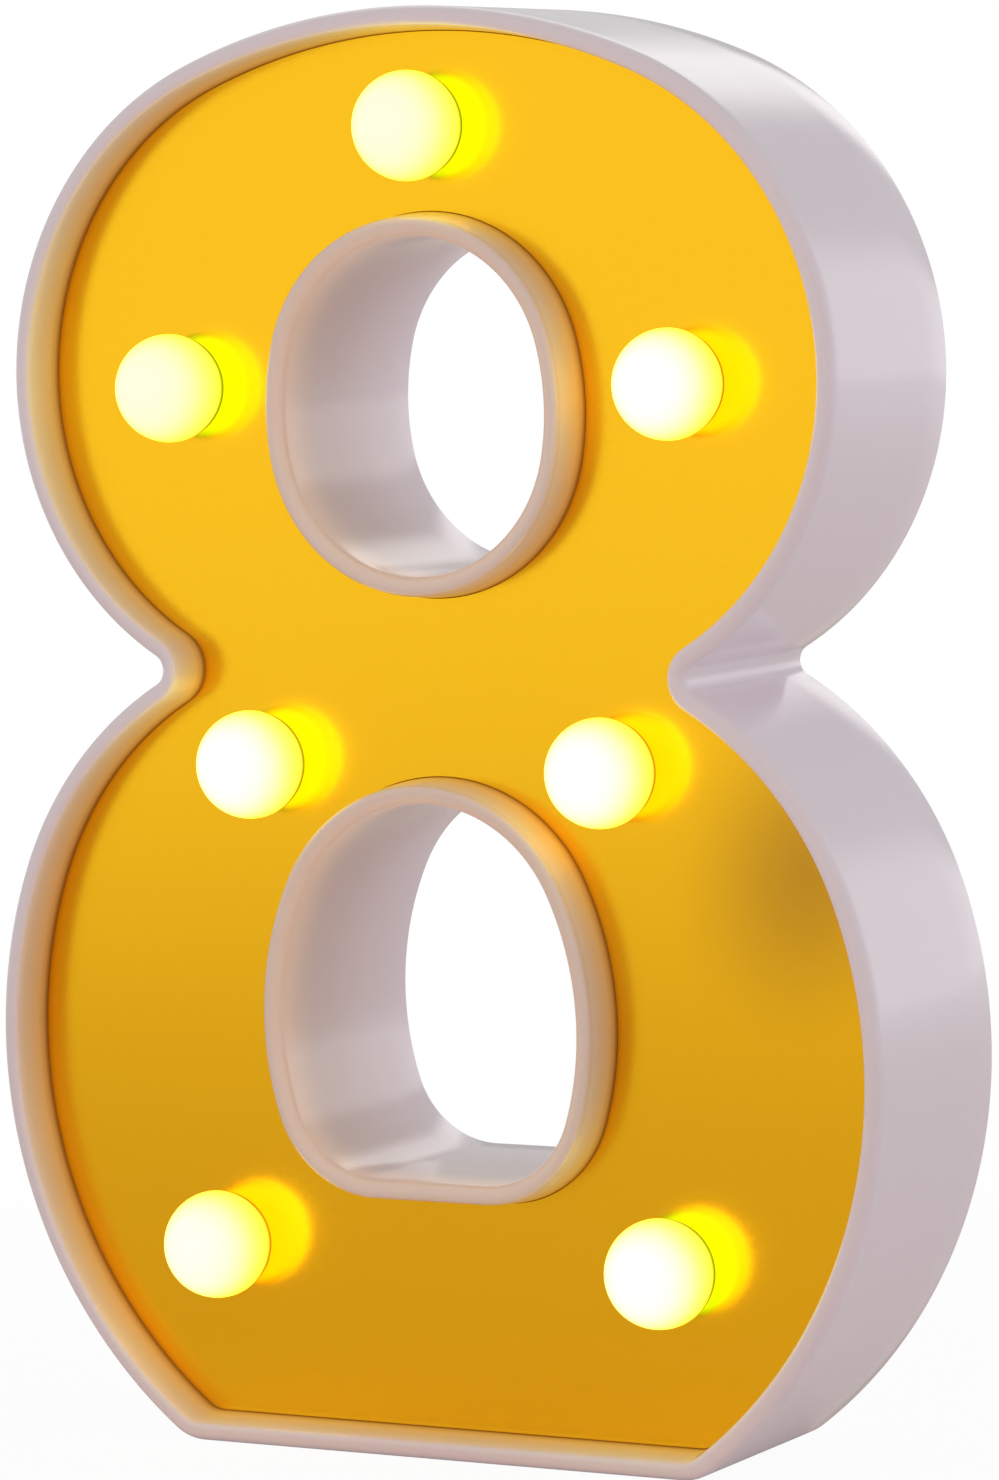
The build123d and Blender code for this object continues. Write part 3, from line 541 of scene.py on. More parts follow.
def joined(meshes):
    """One bmesh that holds several."""
    whole = bmesh.new()
    for mesh in meshes:
        data = stored(mesh)
        whole.from_mesh(data)
        bpy.data.meshes.remove(data)
    return whole


# %% [markdown]
# The caps stand clockwise from the top of the eight. The screws stand where the eight is broad, one in its
# middle and four each side. The places are shares of the height and of the half widths, as in the CAD model.

# %% Places of the caps and the screws
bulbs = [(0, 0.919 * height)]
for side in (1, -1):
    row = [(0.609 * upper_half_width, 0.742 * height), (0.429 * upper_half_width, 0.480 * height),
           (0.505 * lower_half_width, 0.1405 * height)]
    bulbs += [(side * x, z) for x, z in row][::side]
print("caps", bulbs)
screws = [(0, middle)]
for half_width, shares in ((upper_half_width, ((0.37, 0.941), (0.86, 0.682))),
                           (lower_half_width, ((0.842, 0.327), (0.710, 0.091)))):
    screws += [(side * across * half_width, up * height) for across, up in shares for side in (-1, 1)]
print("screws", [(round(x, 1), round(z, 1)) for x, z in screws])

# %% [markdown]
# The housing is moulded in one shot. The section of its walls starts at the back rim, runs forwards to the
# rounded lip and steps down inside it, with a little draft so that it leaves its tool. Each place on that
# step has its strength of painted amber shade. On a counter's wall a trace of painted amber tint grows
# towards the front, and a painted glow shows near the lip and fades away 11 mm behind it.

# %% Section of a wall and the painted warm light on it
# Depths of the recess wall, each with its strength of painted shade and painted amber light, strongest in the
# corner at the web.
step_down = (
    (-18.6, 0.08), (-16.4, 0.24), (-15.2, 0.33), (-14.2, 0.43), (-13.2, 0.6), (-12.6, 0.84), (web_front, 1))
# How far the painted amber tint on a counter's wall reaches, and where the painted glow near the lip fades.
painted_amber_most, painted_amber_reach, glow_start, glow_reach = 0.18, 36, -9, 8


def wall_section():
    """Steps inwards and depths of a wall, from its back rim over the lip down to the web."""
    section = rounding(rim_round, back - rim_round, rim_round, 90, 180, 3)
    section += [(0, depth) for depth in (12, 4, -4, -9, -11.5, -14, -16.8)]
    section += rounding(lip_outer_round, front + lip_outer_round, lip_outer_round, 180, 270, 8)
    section += rounding(lip - lip_inner_round, front + lip_inner_round, lip_inner_round, 270, 360, 6)
    slope = recess_draft / (web_front - front)
    return section + [(lip + slope * (depth - front), depth) for depth, _ in step_down]


def painted_warm_light(section, counter):
    """Painted amber shade and painted glow at each place of a wall; a counter's wall has 1, the outer wall 0.
    """
    wall_places = section[:-len(step_down)]
    painted_amber = [counter * painted_amber_most * min(1, (back - depth) / painted_amber_reach) for _, depth in wall_places]
    painted_amber += [value for _, value in step_down]
    for value, (inward, depth) in zip(painted_amber, section):
        reached = min(1, max(0, (glow_start - depth) / glow_reach))
        yield value, counter * max(0, 1 - inward / lip) * reached ** 1.5


# %% [markdown]
# Behind the lip each wall is a thin shell, and the web closes it as two flat faces with seven holes. Behind
# the web stand nine screw bosses, each stiffened by a cross of ribs, and a collar round each cap's hole.

# %% Housing
boss_radius, pilot_radius, pilot_depth = 3.1, 1.45, 11.5
rib_reach, rib_half, rib_tall = 5.2, 0.6, 7
collar_outer, collar_bore, collar_tall, cap_hole = 8, 6.9, 2, 5.75
root = (web_front + web_back) / 2


def boss(x, z):
    """Screw boss with its cross of ribs, bored from its end."""
    cross = [("UNION", block((x - a, root, z - b), (x + a, web_back + rib_tall, z + b)))
             for a, b in ((rib_reach, rib_half), (rib_half, rib_reach))]
    bore = post(x, z, pilot_radius, cover_front - pilot_depth, clear)
    return worked(post(x, z, boss_radius, root, cover_front), *cross, ("DIFFERENCE", bore))


def collar(x, z):
    """Low ring behind the web, round a cap's hole."""
    end = web_back + collar_tall
    section = [(collar_outer, root), (collar_outer, end), (collar_bore, end), (collar_bore, root)]
    return lathe(section, x, z, closed=True)


def housing():
    mesh = bmesh.new()
    section = wall_section()
    corner = mesh.verts.layers.float.new("corner")
    through = mesh.verts.layers.float.new("through")
    fronts, backs = [], []
    for loop in loops:
        rows = sweep(mesh, loop, section)
        # Each point of a row takes the painted amber shade and the painted glow of its place, as mesh
        # attributes.
        for row, (painted_amber, light) in zip(rows, painted_warm_light(section, loop is not outline)):
            for point in row:
                point[corner], point[through] = painted_amber, light
        inner = sweep(mesh, loop, [(wall, web_back), (wall, 0), (wall, 10), (wall, 19.2),
                                   (wall, back - rim_round), (wall - rim_round, back)])
        skin(mesh, [inner[-1], rows[0]])
        fronts.append(rows[-1])
        backs.append(inner[0])
    for x, z in bulbs:
        hole = sweep(mesh, round_hole(x, z, cap_hole), [(0, web_front), (0, web_back)])
        fronts.append(hole[0])
        backs.append(hole[1])
    flat_face(mesh, fronts)
    flat_face(mesh, backs)
    inside = [boss(*place) for place in screws] + [collar(*place) for place in bulbs]
    piece("housing", joined([mesh, *inside]), "housing_abs", "front_shell", abs_white)


housing()

# %% [markdown]
# The mirror sheet lies on the web, cut to the recess, its edge rounded a little by the die that cut it.

# %% Mirror sheet
sheet_gap, sheet_round, sheet_hole, hole_round = 0.07, 0.08, 5.85, 0.1


def mirror_sheet():
    inset = lip + recess_draft - sheet_gap
    edge = [(inset + sheet_round, sheet_front), (inset, sheet_front + sheet_round), (inset, web_front)]
    mouth = [(hole_round, sheet_front), (0, sheet_front + hole_round), (0, web_front)]
    sweeps = [(loop, edge) for loop in loops] + [(round_hole(x, z, sheet_hole), mouth) for x, z in bulbs]
    piece("mirror_sheet", plate(sweeps), "mirror_gold", "face_panel", gold_film)


mirror_sheet()

# %% [markdown]
# A cap is turned: its section runs from the front pole round the ball and the neck, past a small barb that
# snaps behind the web, and back inside to the inner pole. All seven share the section, and each is its own
# object, because each is its own CAD node.

# %% Ball caps
ball_radius, ball_depth, cap_wall = 8.3, -18.25, 1.0
neck_outer, neck_bore, neck_front, neck_end, bore_front = 5.6, 4.4, -11.8, -6.55, -11.0
barb_radius, barb_front, barb_back = 6.25, -9.1, -7.85


def cap_section():
    """Section of a hollow cap, from the outer pole round the neck and back to the inner pole."""
    inner_radius = ball_radius - cap_wall
    meet_outer = degrees(asin(neck_outer / ball_radius))
    meet_inner = degrees(asin(neck_bore / inner_radius))
    points = []
    for i in range(25):
        angle = radians((180 - meet_outer) * i / 24)
        points.append((ball_radius * sin(angle), ball_depth - ball_radius * cos(angle)))
    points[-1] = (neck_outer, points[-1][1])
    points += [(neck_outer, neck_front), (neck_outer, barb_front - 0.05), (barb_radius, barb_front),
               (barb_radius, barb_front + 0.1), (neck_outer, barb_back), (neck_outer, neck_end),
               (neck_bore, neck_end), (neck_bore, bore_front)]
    for i in range(21):
        angle = radians((180 - meet_inner) * (1 - i / 20))
        points.append((inner_radius * sin(angle), ball_depth - inner_radius * cos(angle)))
    return points


tints = ((1, 1), (0, 0.1), (0, 0), (0, 1), (0.5, 0), (0, 0.6), (1, 1))
for number, ((x, z), tint) in enumerate(zip(bulbs, tints), start=1):
    mesh = lathe(cap_section(), x, z)
    for name, value in zip(("cream", "lemon"), tint):
        layer = mesh.verts.layers.float.new(name)
        for point in mesh.verts:
            point[layer] = value
    piece(f"ball_cap_{number}", mesh, "bulb_milk", f"bulb_cap_{number}", milky_cap)

# %% [markdown]
# The back cover has a face of fine spark-eroded grain, because a polished one would show every scratch of a
# wall or a table. Its colour is the housing's. Real grain is near 0.1 mm, and it is drawn at 0.4 mm so that
# it shows. The other plastics here are made by the same function.

# %% Grained white ABS
def plastic(name, fresh, worn, patch, bump, ior=1.53, **more):
    """Plastic whose patches mix two colours; patch and bump are the settings of both patterns."""
    material, tree = finish_named(name)
    wear, gloss = patches(tree, **patch)
    colour = add(tree, "Mix", colour_mix, _0=wear, _6=linear(fresh), _7=linear(worn)).outputs[2]
    return shown(material, add(tree, "BsdfPrincipled", Base_Color=colour, Roughness=gloss, IOR=ior,
                               Normal=bumps(tree, **bump), **more))


abs_grained = plastic(
    "grained_white_abs", "#ece2e6", "#ece2e6",
    {"size": 22.2, "shiny": 0.34, "dull": 0.46, "Detail": 4.0, "Roughness": 0.6},
    {"size": 0.4, "strength": 0.25, "rise": 0.12, "Roughness": 0.6})

# %% [markdown]
# A small bevel breaks the edges that a finger can reach, because no moulded edge is as sharp as a cut one.
# The large flat faces then decide the shading, so that the bevel doesn't make them look bent.

# %% Edges that a finger can reach
def break_edges(mesh, depth, width):
    """Round the steep edges that lie at a depth or behind it."""
    edges = [e for e in mesh.edges if len(e.link_faces) == 2 and all(v.co.y > depth - 0.01 for v in e.verts)
             and abs(e.calc_face_angle(0)) > radians(40)]
    bmesh.ops.bevel(
        mesh, geom=edges, offset=width, segments=2, profile=0.5, affect="EDGES", clamp_overlap=False)
    print("broke", len(edges), "edges by", width, "mm")


def even_flats(made):
    """Let large flat faces decide the shading beside a rounded edge."""
    step = made.modifiers.new("even_flats", "WEIGHTED_NORMAL")
    step.keep_sharp = True


# %% [markdown]
# The cover is a plate inside the rim, with a box behind it for two AA cells. Its outline and its small holes
# are swept loops with rounded mouths: nine sunk holes for the screws, a keyhole for the head of a wall
# screw, a slot that shows the switch's knob, and two blind holes for the switch's own screws. Only what has
# square corners is cut or added by boolean: the well with its rib between the cells, the pocket of the door
# with a wider groove that lets the hinge barrel turn, and two slots for the contacts' tabs.

# %% Sizes of the cover
cover_inset, cover_round, mouth_round = wall + 0.2, 0.4, 0.25
screw_hole, head_room, seat = 1.7, 1.4, cover_back - 1.2
keyhole_z, keyhole_radius, shank_radius, keyhole_rise = 0.914 * height, 4, 2, 6.5
well_half, well_low, well_high, well_floor, well_wall = 29.225, 5.6, 36.1, 1.6, 1.3
rib_half_length, rib_low, rib_high, rib_back = 27.225, 20.05, 21.65, 5.0
cell_depth, cell_heights, tab_half_depth, tab_half = 9.15, (13.35, 28.35), 0.35, 1.65
door_half, door_low, door_high, door_front, door_gap = 30.625, 4.45, 37.5, 17.4, 0.25
hinge_depth, hinge_height, barrel_radius, groove_front, groove_high = 17.9, 5.55, 1.1, 15.4, 1.5
pin_hole, pin_hole_depth = 0.76, 1.5
switch_x, switch_z = 0.658 * lower_half_width, 0.300 * height
slot_half, slot_half_high = 2.2, 4.3
switch_screw_reach, switch_screw_hole, switch_screw_depth = 8.8, 0.95, 1.9
corners = ((-1, -1), (1, -1), (1, 1), (-1, 1))
print("well", 2 * well_half, "by", round(well_high - well_low, 2), "mm for two cells")


# %% Loops, sections and cutters of the cover
def mouth(inward, radius=mouth_round):
    """Section through the plate, from its front to a rounded edge in its back."""
    return [(inward, cover_front)] + rounding(inward + radius, cover_back - radius, radius, 180, 90, 3)


def keyhole_loop():
    """Loop of a round hole for a screw's head, which opens at its top into a slot for the shank."""
    centre, top = Vector((0, keyhole_z)), Vector((0, keyhole_z + keyhole_rise))
    across = Vector((shank_radius, 0))
    corner = asin(shank_radius / keyhole_radius)
    rise = Vector((0, keyhole_radius * cos(corner)))
    left, right, mitre = centre - across + rise, centre + across + rise, tan(corner)
    loop = [(right, Vector((-1, -mitre)))] + straight(right, top + across, Vector((-1, 0)), 1.0)[1:]
    loop += arc(top, shank_radius, 0, pi, -1, 0.4)
    loop += straight(top - across, left, Vector((1, 0)), 1.0)
    loop += [(left, Vector((1, -mitre)))]
    return loop + arc(centre, keyhole_radius, pi / 2 + corner, 5 * pi / 2 - corner, -1, 0.4)[1:]


def hinge_rod(profile):
    """A bar turned along the hinge of the door."""
    return moved(lathe(profile, count=32), 90, "Z", (0, hinge_depth, hinge_height))


def door_room():
    """Cutter for the door's pocket, the groove of its barrel and the holes of its pins."""
    half, low, end = door_half + door_gap, door_low - door_gap, door_half + door_gap + pin_hole_depth
    return worked(block((-half, door_front - 0.05, low), (half, clear, door_high + door_gap)),
                  ("UNION", block((-half, groove_front, low), (half, clear, hinge_height + groove_high))),
                  ("UNION", hinge_rod([(0, -end), (pin_hole, -end), (pin_hole, end), (0, end)])))


# %% Back cover
def cover():
    sunk = [(0, cover_front), (0, seat), (head_room, seat)] + mouth(head_room)[1:]
    slot = [(Vector((switch_x - slot_half * a, switch_z - slot_half_high * b)), Vector((a, b)))
            for a, b in corners]
    sweeps = [(loop, mouth(cover_inset, cover_round)) for loop in loops]
    sweeps += [(round_hole(x, z, screw_hole), sunk) for x, z in screws]
    sweeps += [(keyhole_loop(), mouth(0)), (slot, mouth(0))]
    drilled = [(0, cover_front), (0, cover_front + switch_screw_depth)]
    blind = [(round_hole(switch_x, switch_z + side * switch_screw_reach, switch_screw_hole), drilled)
             for side in (-1, 1)]
    outer = well_half + well_wall
    box = block((-outer, well_floor - well_wall, well_low - well_wall),
                (outer, cover_front + 1, well_high + well_wall))
    well = block((-well_half, well_floor, well_low), (well_half, clear, well_high))
    rib = block((-rib_half_length, well_floor - 0.5, rib_low), (rib_half_length, rib_back, rib_high))
    tabs = [block((well_half - well_wall / 2, cell_depth - tab_half_depth, z - tab_half),
                  (outer + 1, cell_depth + tab_half_depth, z + tab_half)) for z in cell_heights]
    steps = [("UNION", box), ("DIFFERENCE", well), ("UNION", rib), ("DIFFERENCE", door_room())]
    mesh = worked(plate(sweeps, blind), *steps, *[("DIFFERENCE", tab) for tab in tabs])
    break_edges(mesh, cover_back, mouth_round)
    even_flats(piece("back_plate", mesh, "housing_abs", "back_cover", abs_grained))


cover()

# %% [markdown]
# The door is one moulding: plate, hinge barrel with two pins, and a springy tongue between two slits, whose
# nose snaps under the cover's edge. Seen from the side the plate and the barrel are one closed profile, so
# they are drawn so and pushed along the hinge. A shallow dish below the tongue gives a fingertip hold.

# %% Battery door
pin_radius, pin_reach, pin_tip_radius, pin_tip = 0.7, 1.2, 0.5, 0.2
tongue_half, tongue_long, slit, nose_thick, nose_reach = 6.0, 9, 0.8, 0.8, 0.15
grip_z, barrel_turn = door_high - 14.8, radians(243)


def door():
    profile = [(cover_back, door_high), (cover_back, hinge_height)]
    for i in range(1, 25):
        turn = -barrel_turn * i / 24
        profile.append((hinge_depth + barrel_radius * cos(turn), hinge_height + barrel_radius * sin(turn)))
    profile.append((door_front, door_high))
    lid = bmesh.new()
    ends = [[lid.verts.new((x, y, z)) for y, z in profile] for x in (-door_half, door_half)]
    skin(lid, ends)
    for end in ends:
        lid.faces.new(end)
    tip = door_half + pin_reach
    pins = hinge_rod([(0, -tip), (pin_tip_radius, -tip), (pin_radius, pin_tip - tip),
                      (pin_radius, tip - pin_tip), (pin_tip_radius, tip), (0, tip)])
    hollow = [(0, 18.3), (1.5, 18.34), (3.0, 18.5), (4.2, 18.74), (5.0, cover_back)]
    dish = lathe(hollow + [(5.0, clear), (0, clear)], 0, grip_z)
    nose = block((-tongue_half, door_front, door_high - 1),
                 (tongue_half, door_front + nose_thick, door_high + nose_reach))
    steps = [("UNION", pins), ("DIFFERENCE", dish), ("UNION", nose)]
    for side in (-1, 1):
        near, far = sorted((side * tongue_half, side * (tongue_half + slit)))
        steps.append(("DIFFERENCE", block((near, door_front - 1, door_high - tongue_long),
                                          (far, clear, door_high + 1))))
    lid = worked(lid, *steps)
    break_edges(lid, cover_back, mouth_round)
    even_flats(piece("well_door", lid, "housing_abs", "battery_door", abs_grained, body="door"))


door()

# %% [markdown]
# Zinc plating on steel is a bluish grey metal with faint cloudy patches. Small screws get it in a barrel,
# where they tumble against each other, so their shine is uneven.

# %% Zinc plated steel
def zinc_plated():
    material, tree = finish_named("zinc_plated_steel")
    cloudy = {"Detail": 3.0, "Roughness": 0.6}
    cloud, gloss = patches(tree, 1.43, 0.22, 0.42, **cloudy)
    tint = add(tree, "ValToRGB", Fac=cloud)
    colour_stops(tint.color_ramp, ((0, "#aab0b8"), (0.35, "#aab0b8"), (0.65, "#c9c8c2")))
    return shown(material, add(tree, "BsdfPrincipled", Base_Color=tint, Metallic=1.0, Roughness=gloss,
                               Normal=bumps(tree, 1.43, 0.1, 0.1, **cloudy)))


zinc = zinc_plated()

# %% [markdown]
# A screw is turned like the caps: a pan head with a soft edge, and a shank with the ridges of its thread.
# Two crossed wedges cut the recess for the driver, and each screw is left at its own angle.

# %% Cover screws
head_radius, crest, core, pitch, ridges, shank_length = 2.8, 1.4, 1.1, 1.0, 8, 10


def wedge(x, z, turn):
    """Tapered cutter for one slot of the driver recess: half length, half width and depth at each end."""
    mesh = bmesh.new()
    ends = [[mesh.verts.new((a * long, depth, b * wide)) for a, b in corners]
            for long, wide, depth in ((0.5, 0.25, seat + 0.15), (1.75, 0.42, cover_back + 0.3))]
    skin(mesh, ends)
    for end in ends:
        mesh.faces.new(end)
    return moved(mesh, turn, "Y", (x, 0, z))


def screw(x, z, turn):
    """One screw in its hole, its recess turned as the driver left it."""
    profile = [(0, cover_back), (1.6, cover_back - 0.01), (2.2, cover_back - 0.1), (2.65, cover_back - 0.35),
               (head_radius, cover_back - 0.75), (head_radius, seat), (crest, seat)]
    for i in range(ridges):
        top = seat - 1 - i * pitch
        profile += [(core, top), (core, top - 0.45), (crest, top - 0.7), (core, top - 0.95)]
    tip = seat - shank_length
    profile += [(1.0, tip + 0.8), (0.3, tip), (0, tip)]
    slots = [("DIFFERENCE", wedge(x, z, turn + angle)) for angle in (0, 90)]
    return worked(lathe(profile, x, z, 40), *slots)


turns = (12, 47, 71, 5, 33, 58, 80, 22, 64)
heads = joined([screw(x, z, turn) for (x, z), turn in zip(screws, turns)])
even_flats(piece("nine_screws", heads, "screw_zinc", "cover_screws", zinc))

# %% [markdown]
# The knob of the slide switch is matt black ABS, with three grooves across its top that give a fingertip
# hold. Its eroded grain is drawn at 0.2 mm, about twice the real one, so that it shows. Some patches are a
# little greyer and duller.

# %% Matt black ABS
black_abs = plastic(
    "matt_black_abs", "#0f0f10", "#1c1c1e", {"size": 1.11, "shiny": 0.42, "dull": 0.58, "Detail": 3.0},
    {"size": 0.2, "strength": 0.3, "rise": 0.05})

# %% Switch knob
knob_half, knob_high, knob_root, knob_tip, groove_deep, groove_half = 1.9, 4, 13.45, 19.8, 0.4, 0.2


def knob():
    low, high = switch_z, switch_z + knob_high
    lever = block((switch_x - knob_half, knob_root, low), (switch_x + knob_half, knob_tip, high))
    grooves = []
    for step in (-1, 0, 1):
        z = low + knob_high / 2 + step
        grooves.append(("DIFFERENCE", block((switch_x - 3, knob_tip - groove_deep, z - groove_half),
                                            (switch_x + 3, knob_tip + 1, z + groove_half))))
    lever = worked(lever, *grooves)
    break_edges(lever, knob_tip, 0.08)
    even_flats(piece("slide_knob", lever, "knob_abs", "switch_knob", black_abs, body="knob"))


knob()

# %% [markdown]
# An AA cell is a steel can in a sleeve of shrunk film. The film folds over both ends by a millimetre. The
# sleeve here is a plain one of no maker, dark blue with a pale stripe at the flat end, and the can's ends
# are bare nickel plated steel. The two cells lie opposed, so the stripe is on the other side in the upper
# one.

# %% Shrunk film sleeve
def film_sleeve():
    material, tree = finish_named("shrunk_film_sleeve")
    place = add(tree, "SeparateXYZ", Vector=add(tree, "TexCoord").outputs["Object"]).outputs
    between = sum(cell_heights) / 2 * MM
    upper = add(tree, "Math", {"operation": "GREATER_THAN"}, _0=place["Z"], _1=between)
    way = add(tree, "MapRange", Value=upper, To_Min=1.0, To_Max=-1.0)
    along = add(tree, "Math", times, _0=place["X"], _1=way)
    stripe = add(tree, "MapRange", Value=along, From_Min=12.0 * MM, From_Max=12.2 * MM)
    colour = add(tree, "Mix", colour_mix, _0=stripe, _6=linear("#24406b"), _7=linear("#d8d6cf")).outputs[2]
    _, gloss = patches(tree, 0.833, 0.18, 0.3)
    return shown(material, add(tree, "BsdfPrincipled", Base_Color=colour, Roughness=gloss, IOR=1.58,
                               Normal=bumps(tree, 11.1, 0.08, 0.4)))


sleeve = film_sleeve()

# %% [markdown]
# Nickel plating is a warm grey, a little yellower than steel. On the flat contacts it covers rolled strip,
# whose fine lines run along the strip, so the pattern is squeezed across them. The cells' ends and the
# springs have it too, and the tinned case of the switch is close enough to share it.

# %% Nickel plated steel
def nickel_plated(name, lines, shiny, dull):
    """Nickel finish; lines gives how much finer the pattern is along each axis."""
    material, tree = finish_named(name)
    place = add(tree, "TexCoord").outputs["Object"]
    run = add(tree, "Mapping", Vector=place, Scale=lines).outputs[0]
    _, gloss = patches(tree, 2.5, shiny, dull, run, Detail=3.0)
    stain = add(tree, "TexNoise", Vector=place, Scale=1 / (4.55 * MM))
    colour = add(tree, "Mix", colour_mix, _0=stain, _6=linear("#cdc8bb"), _7=linear("#bdb6a6")).outputs[2]
    return shown(material, add(tree, "BsdfPrincipled", Base_Color=colour, Metallic=1.0, Roughness=gloss,
                               Normal=bumps(tree, 2.5, 0.15, 0.03, run, Detail=3.0)))


nickel = nickel_plated("nickel_plated_steel", (1, 8, 1), 0.2, 0.34)
spring_wire = nickel_plated("nickel_plated_spring_wire", (1, 1, 1), 0.16, 0.3)
tinned = nickel_plated("tinned_steel_sheet", (6, 1, 1), 0.3, 0.45)

# %% Cells
cell_radius, flat_end, nub_tip, nub_tall, film_fold = 7.25, 22.725, 27.775, 1.3, 6.25


def cell(number, side, z):
    """Cell whose nub points to the given side, turned round Y and then laid along X."""
    tip = flat_end + nub_tip
    top = tip - nub_tall
    profile = [(0, 0.12), (4.2, 0.12), (4.5, 0), (5.5, 0), (5.9, 0.2), (6.2, 0.2), (6.5, 0), (6.95, 0.08),
               (7.18, 0.35), (cell_radius, 0.8), (cell_radius, top - 0.6), (7.15, top - 0.25), (6.9, top),
               (6.3, top), (6.2, top - 0.25), (3.2, top - 0.3), (2.9, top - 0.15), (2.75, top + 0.1),
               (2.75, tip - 0.35), (2.65, tip - 0.1), (2.4, tip), (0, tip)]
    mesh = lathe(profile)
    for face in mesh.faces:
        at = face.calc_center_median()
        face.material_index = 0 if sqrt(at.x ** 2 + at.z ** 2) > film_fold else 1
    moved(mesh, -side * 90, "Z", (-side * flat_end, cell_depth, z))
    piece(f"aa_cell_{number}", mesh, "cell_sleeve", f"cell_{number}", sleeve, nickel)


cell(1, -1, cell_heights[0])
cell(2, 1, cell_heights[1])

# %% [markdown]
# The pieces inside keep the CAD model's own meshes, which already have their true shapes, and get real
# finishes. The diodes are clear epoxy, which bends light a little more than glass. Their plugs are natural
# nylon, ivory and a little waxy.

# %% Clear epoxy and natural nylon
def clear_epoxy():
    material, tree = finish_named("clear_epoxy")
    return shown(material, add(tree, "BsdfPrincipled", Base_Color=linear("#fbf4dc"), Roughness=0.06, IOR=1.54,
                               Transmission_Weight=0.9, Normal=bumps(tree, 3.33, 0.05, 0.2, Detail=1.0)))


epoxy = clear_epoxy()
nylon = plastic(
    "natural_nylon", "#e8e3d2", "#dcd5c0", {"size": 2, "shiny": 0.4, "dull": 0.55, "Detail": 3.0},
    {"size": 2, "strength": 0.1, "rise": 0.1, "Detail": 3.0}, Subsurface_Weight=0.2, Subsurface_Scale=MM)

# %% [markdown]
# The leads' insulation is PVC, extruded over the strands: smooth and half glossy, with a slow waviness of
# its colour.

# %% PVC insulation
red_pvc, black_pvc = [
    plastic(name, fresh, faded, {"size": 8.33, "shiny": 0.28, "dull": 0.42},
            {"size": 0.667, "strength": 0.08, "rise": 0.05, "Detail": 1.0}, 1.54)
    for name, fresh, faded in (("red_pvc", "#a81814", "#8f1410"), ("black_pvc", "#161616", "#242424"))]

# %% [markdown]
# The resistor's body is dipped in buff lacquer and ringed with four colour bands, which code its value:
# yellow, violet, black and gold for 47 ohms. The bands are steps along the body's own length.

# %% Banded lacquer
body_half_length = 3.15


def banded_lacquer():
    material, tree = finish_named("banded_lacquer")
    low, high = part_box("resistor")
    middle_x, reach = (low[0] + high[0]) / 2, body_half_length * MM
    across = add(tree, "SeparateXYZ", Vector=add(tree, "TexCoord").outputs["Object"]).outputs["X"]
    share = add(tree, "MapRange", Value=across, From_Min=middle_x - reach, From_Max=middle_x + reach)
    bands = add(tree, "ValToRGB", Fac=share)
    bands.color_ramp.interpolation = "CONSTANT"
    buff = "#d2ac72"
    colour_stops(bands.color_ramp, (
        (0, buff), (0.14, "#d9b526"), (0.22, buff), (0.34, "#5b3a8c"), (0.42, buff), (0.52, "#141414"),
        (0.6, buff), (0.78, "#b58a2c"), (0.86, buff)))
    return shown(material, add(tree, "BsdfPrincipled", Base_Color=bands, Roughness=0.35, IOR=1.5,
                               Normal=bumps(tree, 1.11, 0.1, 0.1)))


# %% Finishes of the CAD nodes
finishes = {
    "housing_abs": abs_white, "mirror_gold": gold_film, "bulb_milk": milky_cap, "led_epoxy": epoxy,
    "holder_nylon": nylon, "cell_sleeve": sleeve, "contact_nickel": nickel, "spring_steel": spring_wire,
    "switch_steel": tinned, "knob_abs": black_abs, "screw_zinc": zinc, "resistor_lacquer": banded_lacquer(),
    "lead_red": red_pvc, "lead_black": black_pvc}
for row in frame["record"]["subparts"]:
    node = frame["nodes"][row["node"]]
    node.data.materials.clear()
    node.data.materials.append(finishes[row["material_slot"]])
print("finished", len(frame["nodes"]), "nodes with", len(finishes), "finishes")

# %% [markdown]
# The lamp stands on a pale floor. The floor is seen as white by the camera, by mirrors and through glass,
# and keeps a trace of the lamp's soft shadow. Mirrors see its shaded part in a warm tone, a painted warm
# light that stands for the glow of the caps.

# %% Floor
def pale_floor():
    mesh = bpy.data.meshes.new("floor")
    mesh.from_pydata([(-3, -3, 0), (3, -3, 0), (3, 3, 0), (-3, 3, 0)], [], [(0, 1, 2, 3)])
    material, tree = finish_named("pale_paper")
    rays = add(tree, "LightPath").outputs
    spot = add(tree, "TexCoord").outputs["Object"]
    away = add(tree, "VectorMath", {"operation": "LENGTH"}, _0=spot).outputs["Value"]
    far = add(tree, "MapRange", soft_range, Value=away, From_Min=0.1, From_Max=0.4, To_Min=0.96)
    mirrored = add(tree, "MapRange", soft_range, Value=away, From_Min=0.2, From_Max=1.6, To_Min=0.2)
    seen = add(tree, "Math", larger, _0=rays["Is Camera Ray"], _1=rays["Is Transmission Ray"])
    direct = add(tree, "Math", times, _0=seen, _1=far)
    glossy = add(tree, "Math", times, _0=rays["Is Glossy Ray"], _1=mirrored)
    share = add(tree, "Math", larger, _0=direct, _1=glossy)
    # Painted warm light: mirrors see the paper in a warmer colour than the camera does.
    tone = add(tree, "Mix", colour_mix, _0=rays["Is Glossy Ray"], _6=linear("#efe6ee"), _7=linear("#f2dfc8"))
    paper = add(tree, "BsdfDiffuse", Color=tone.outputs[2])
    white = add(tree, "Emission", Color=(1, 1, 1, 1), Strength=1.0)
    mesh.materials.append(shown(material, add(tree, "MixShader", _0=share, _1=paper, _2=white)))
    new_object("floor", mesh)


pale_floor()

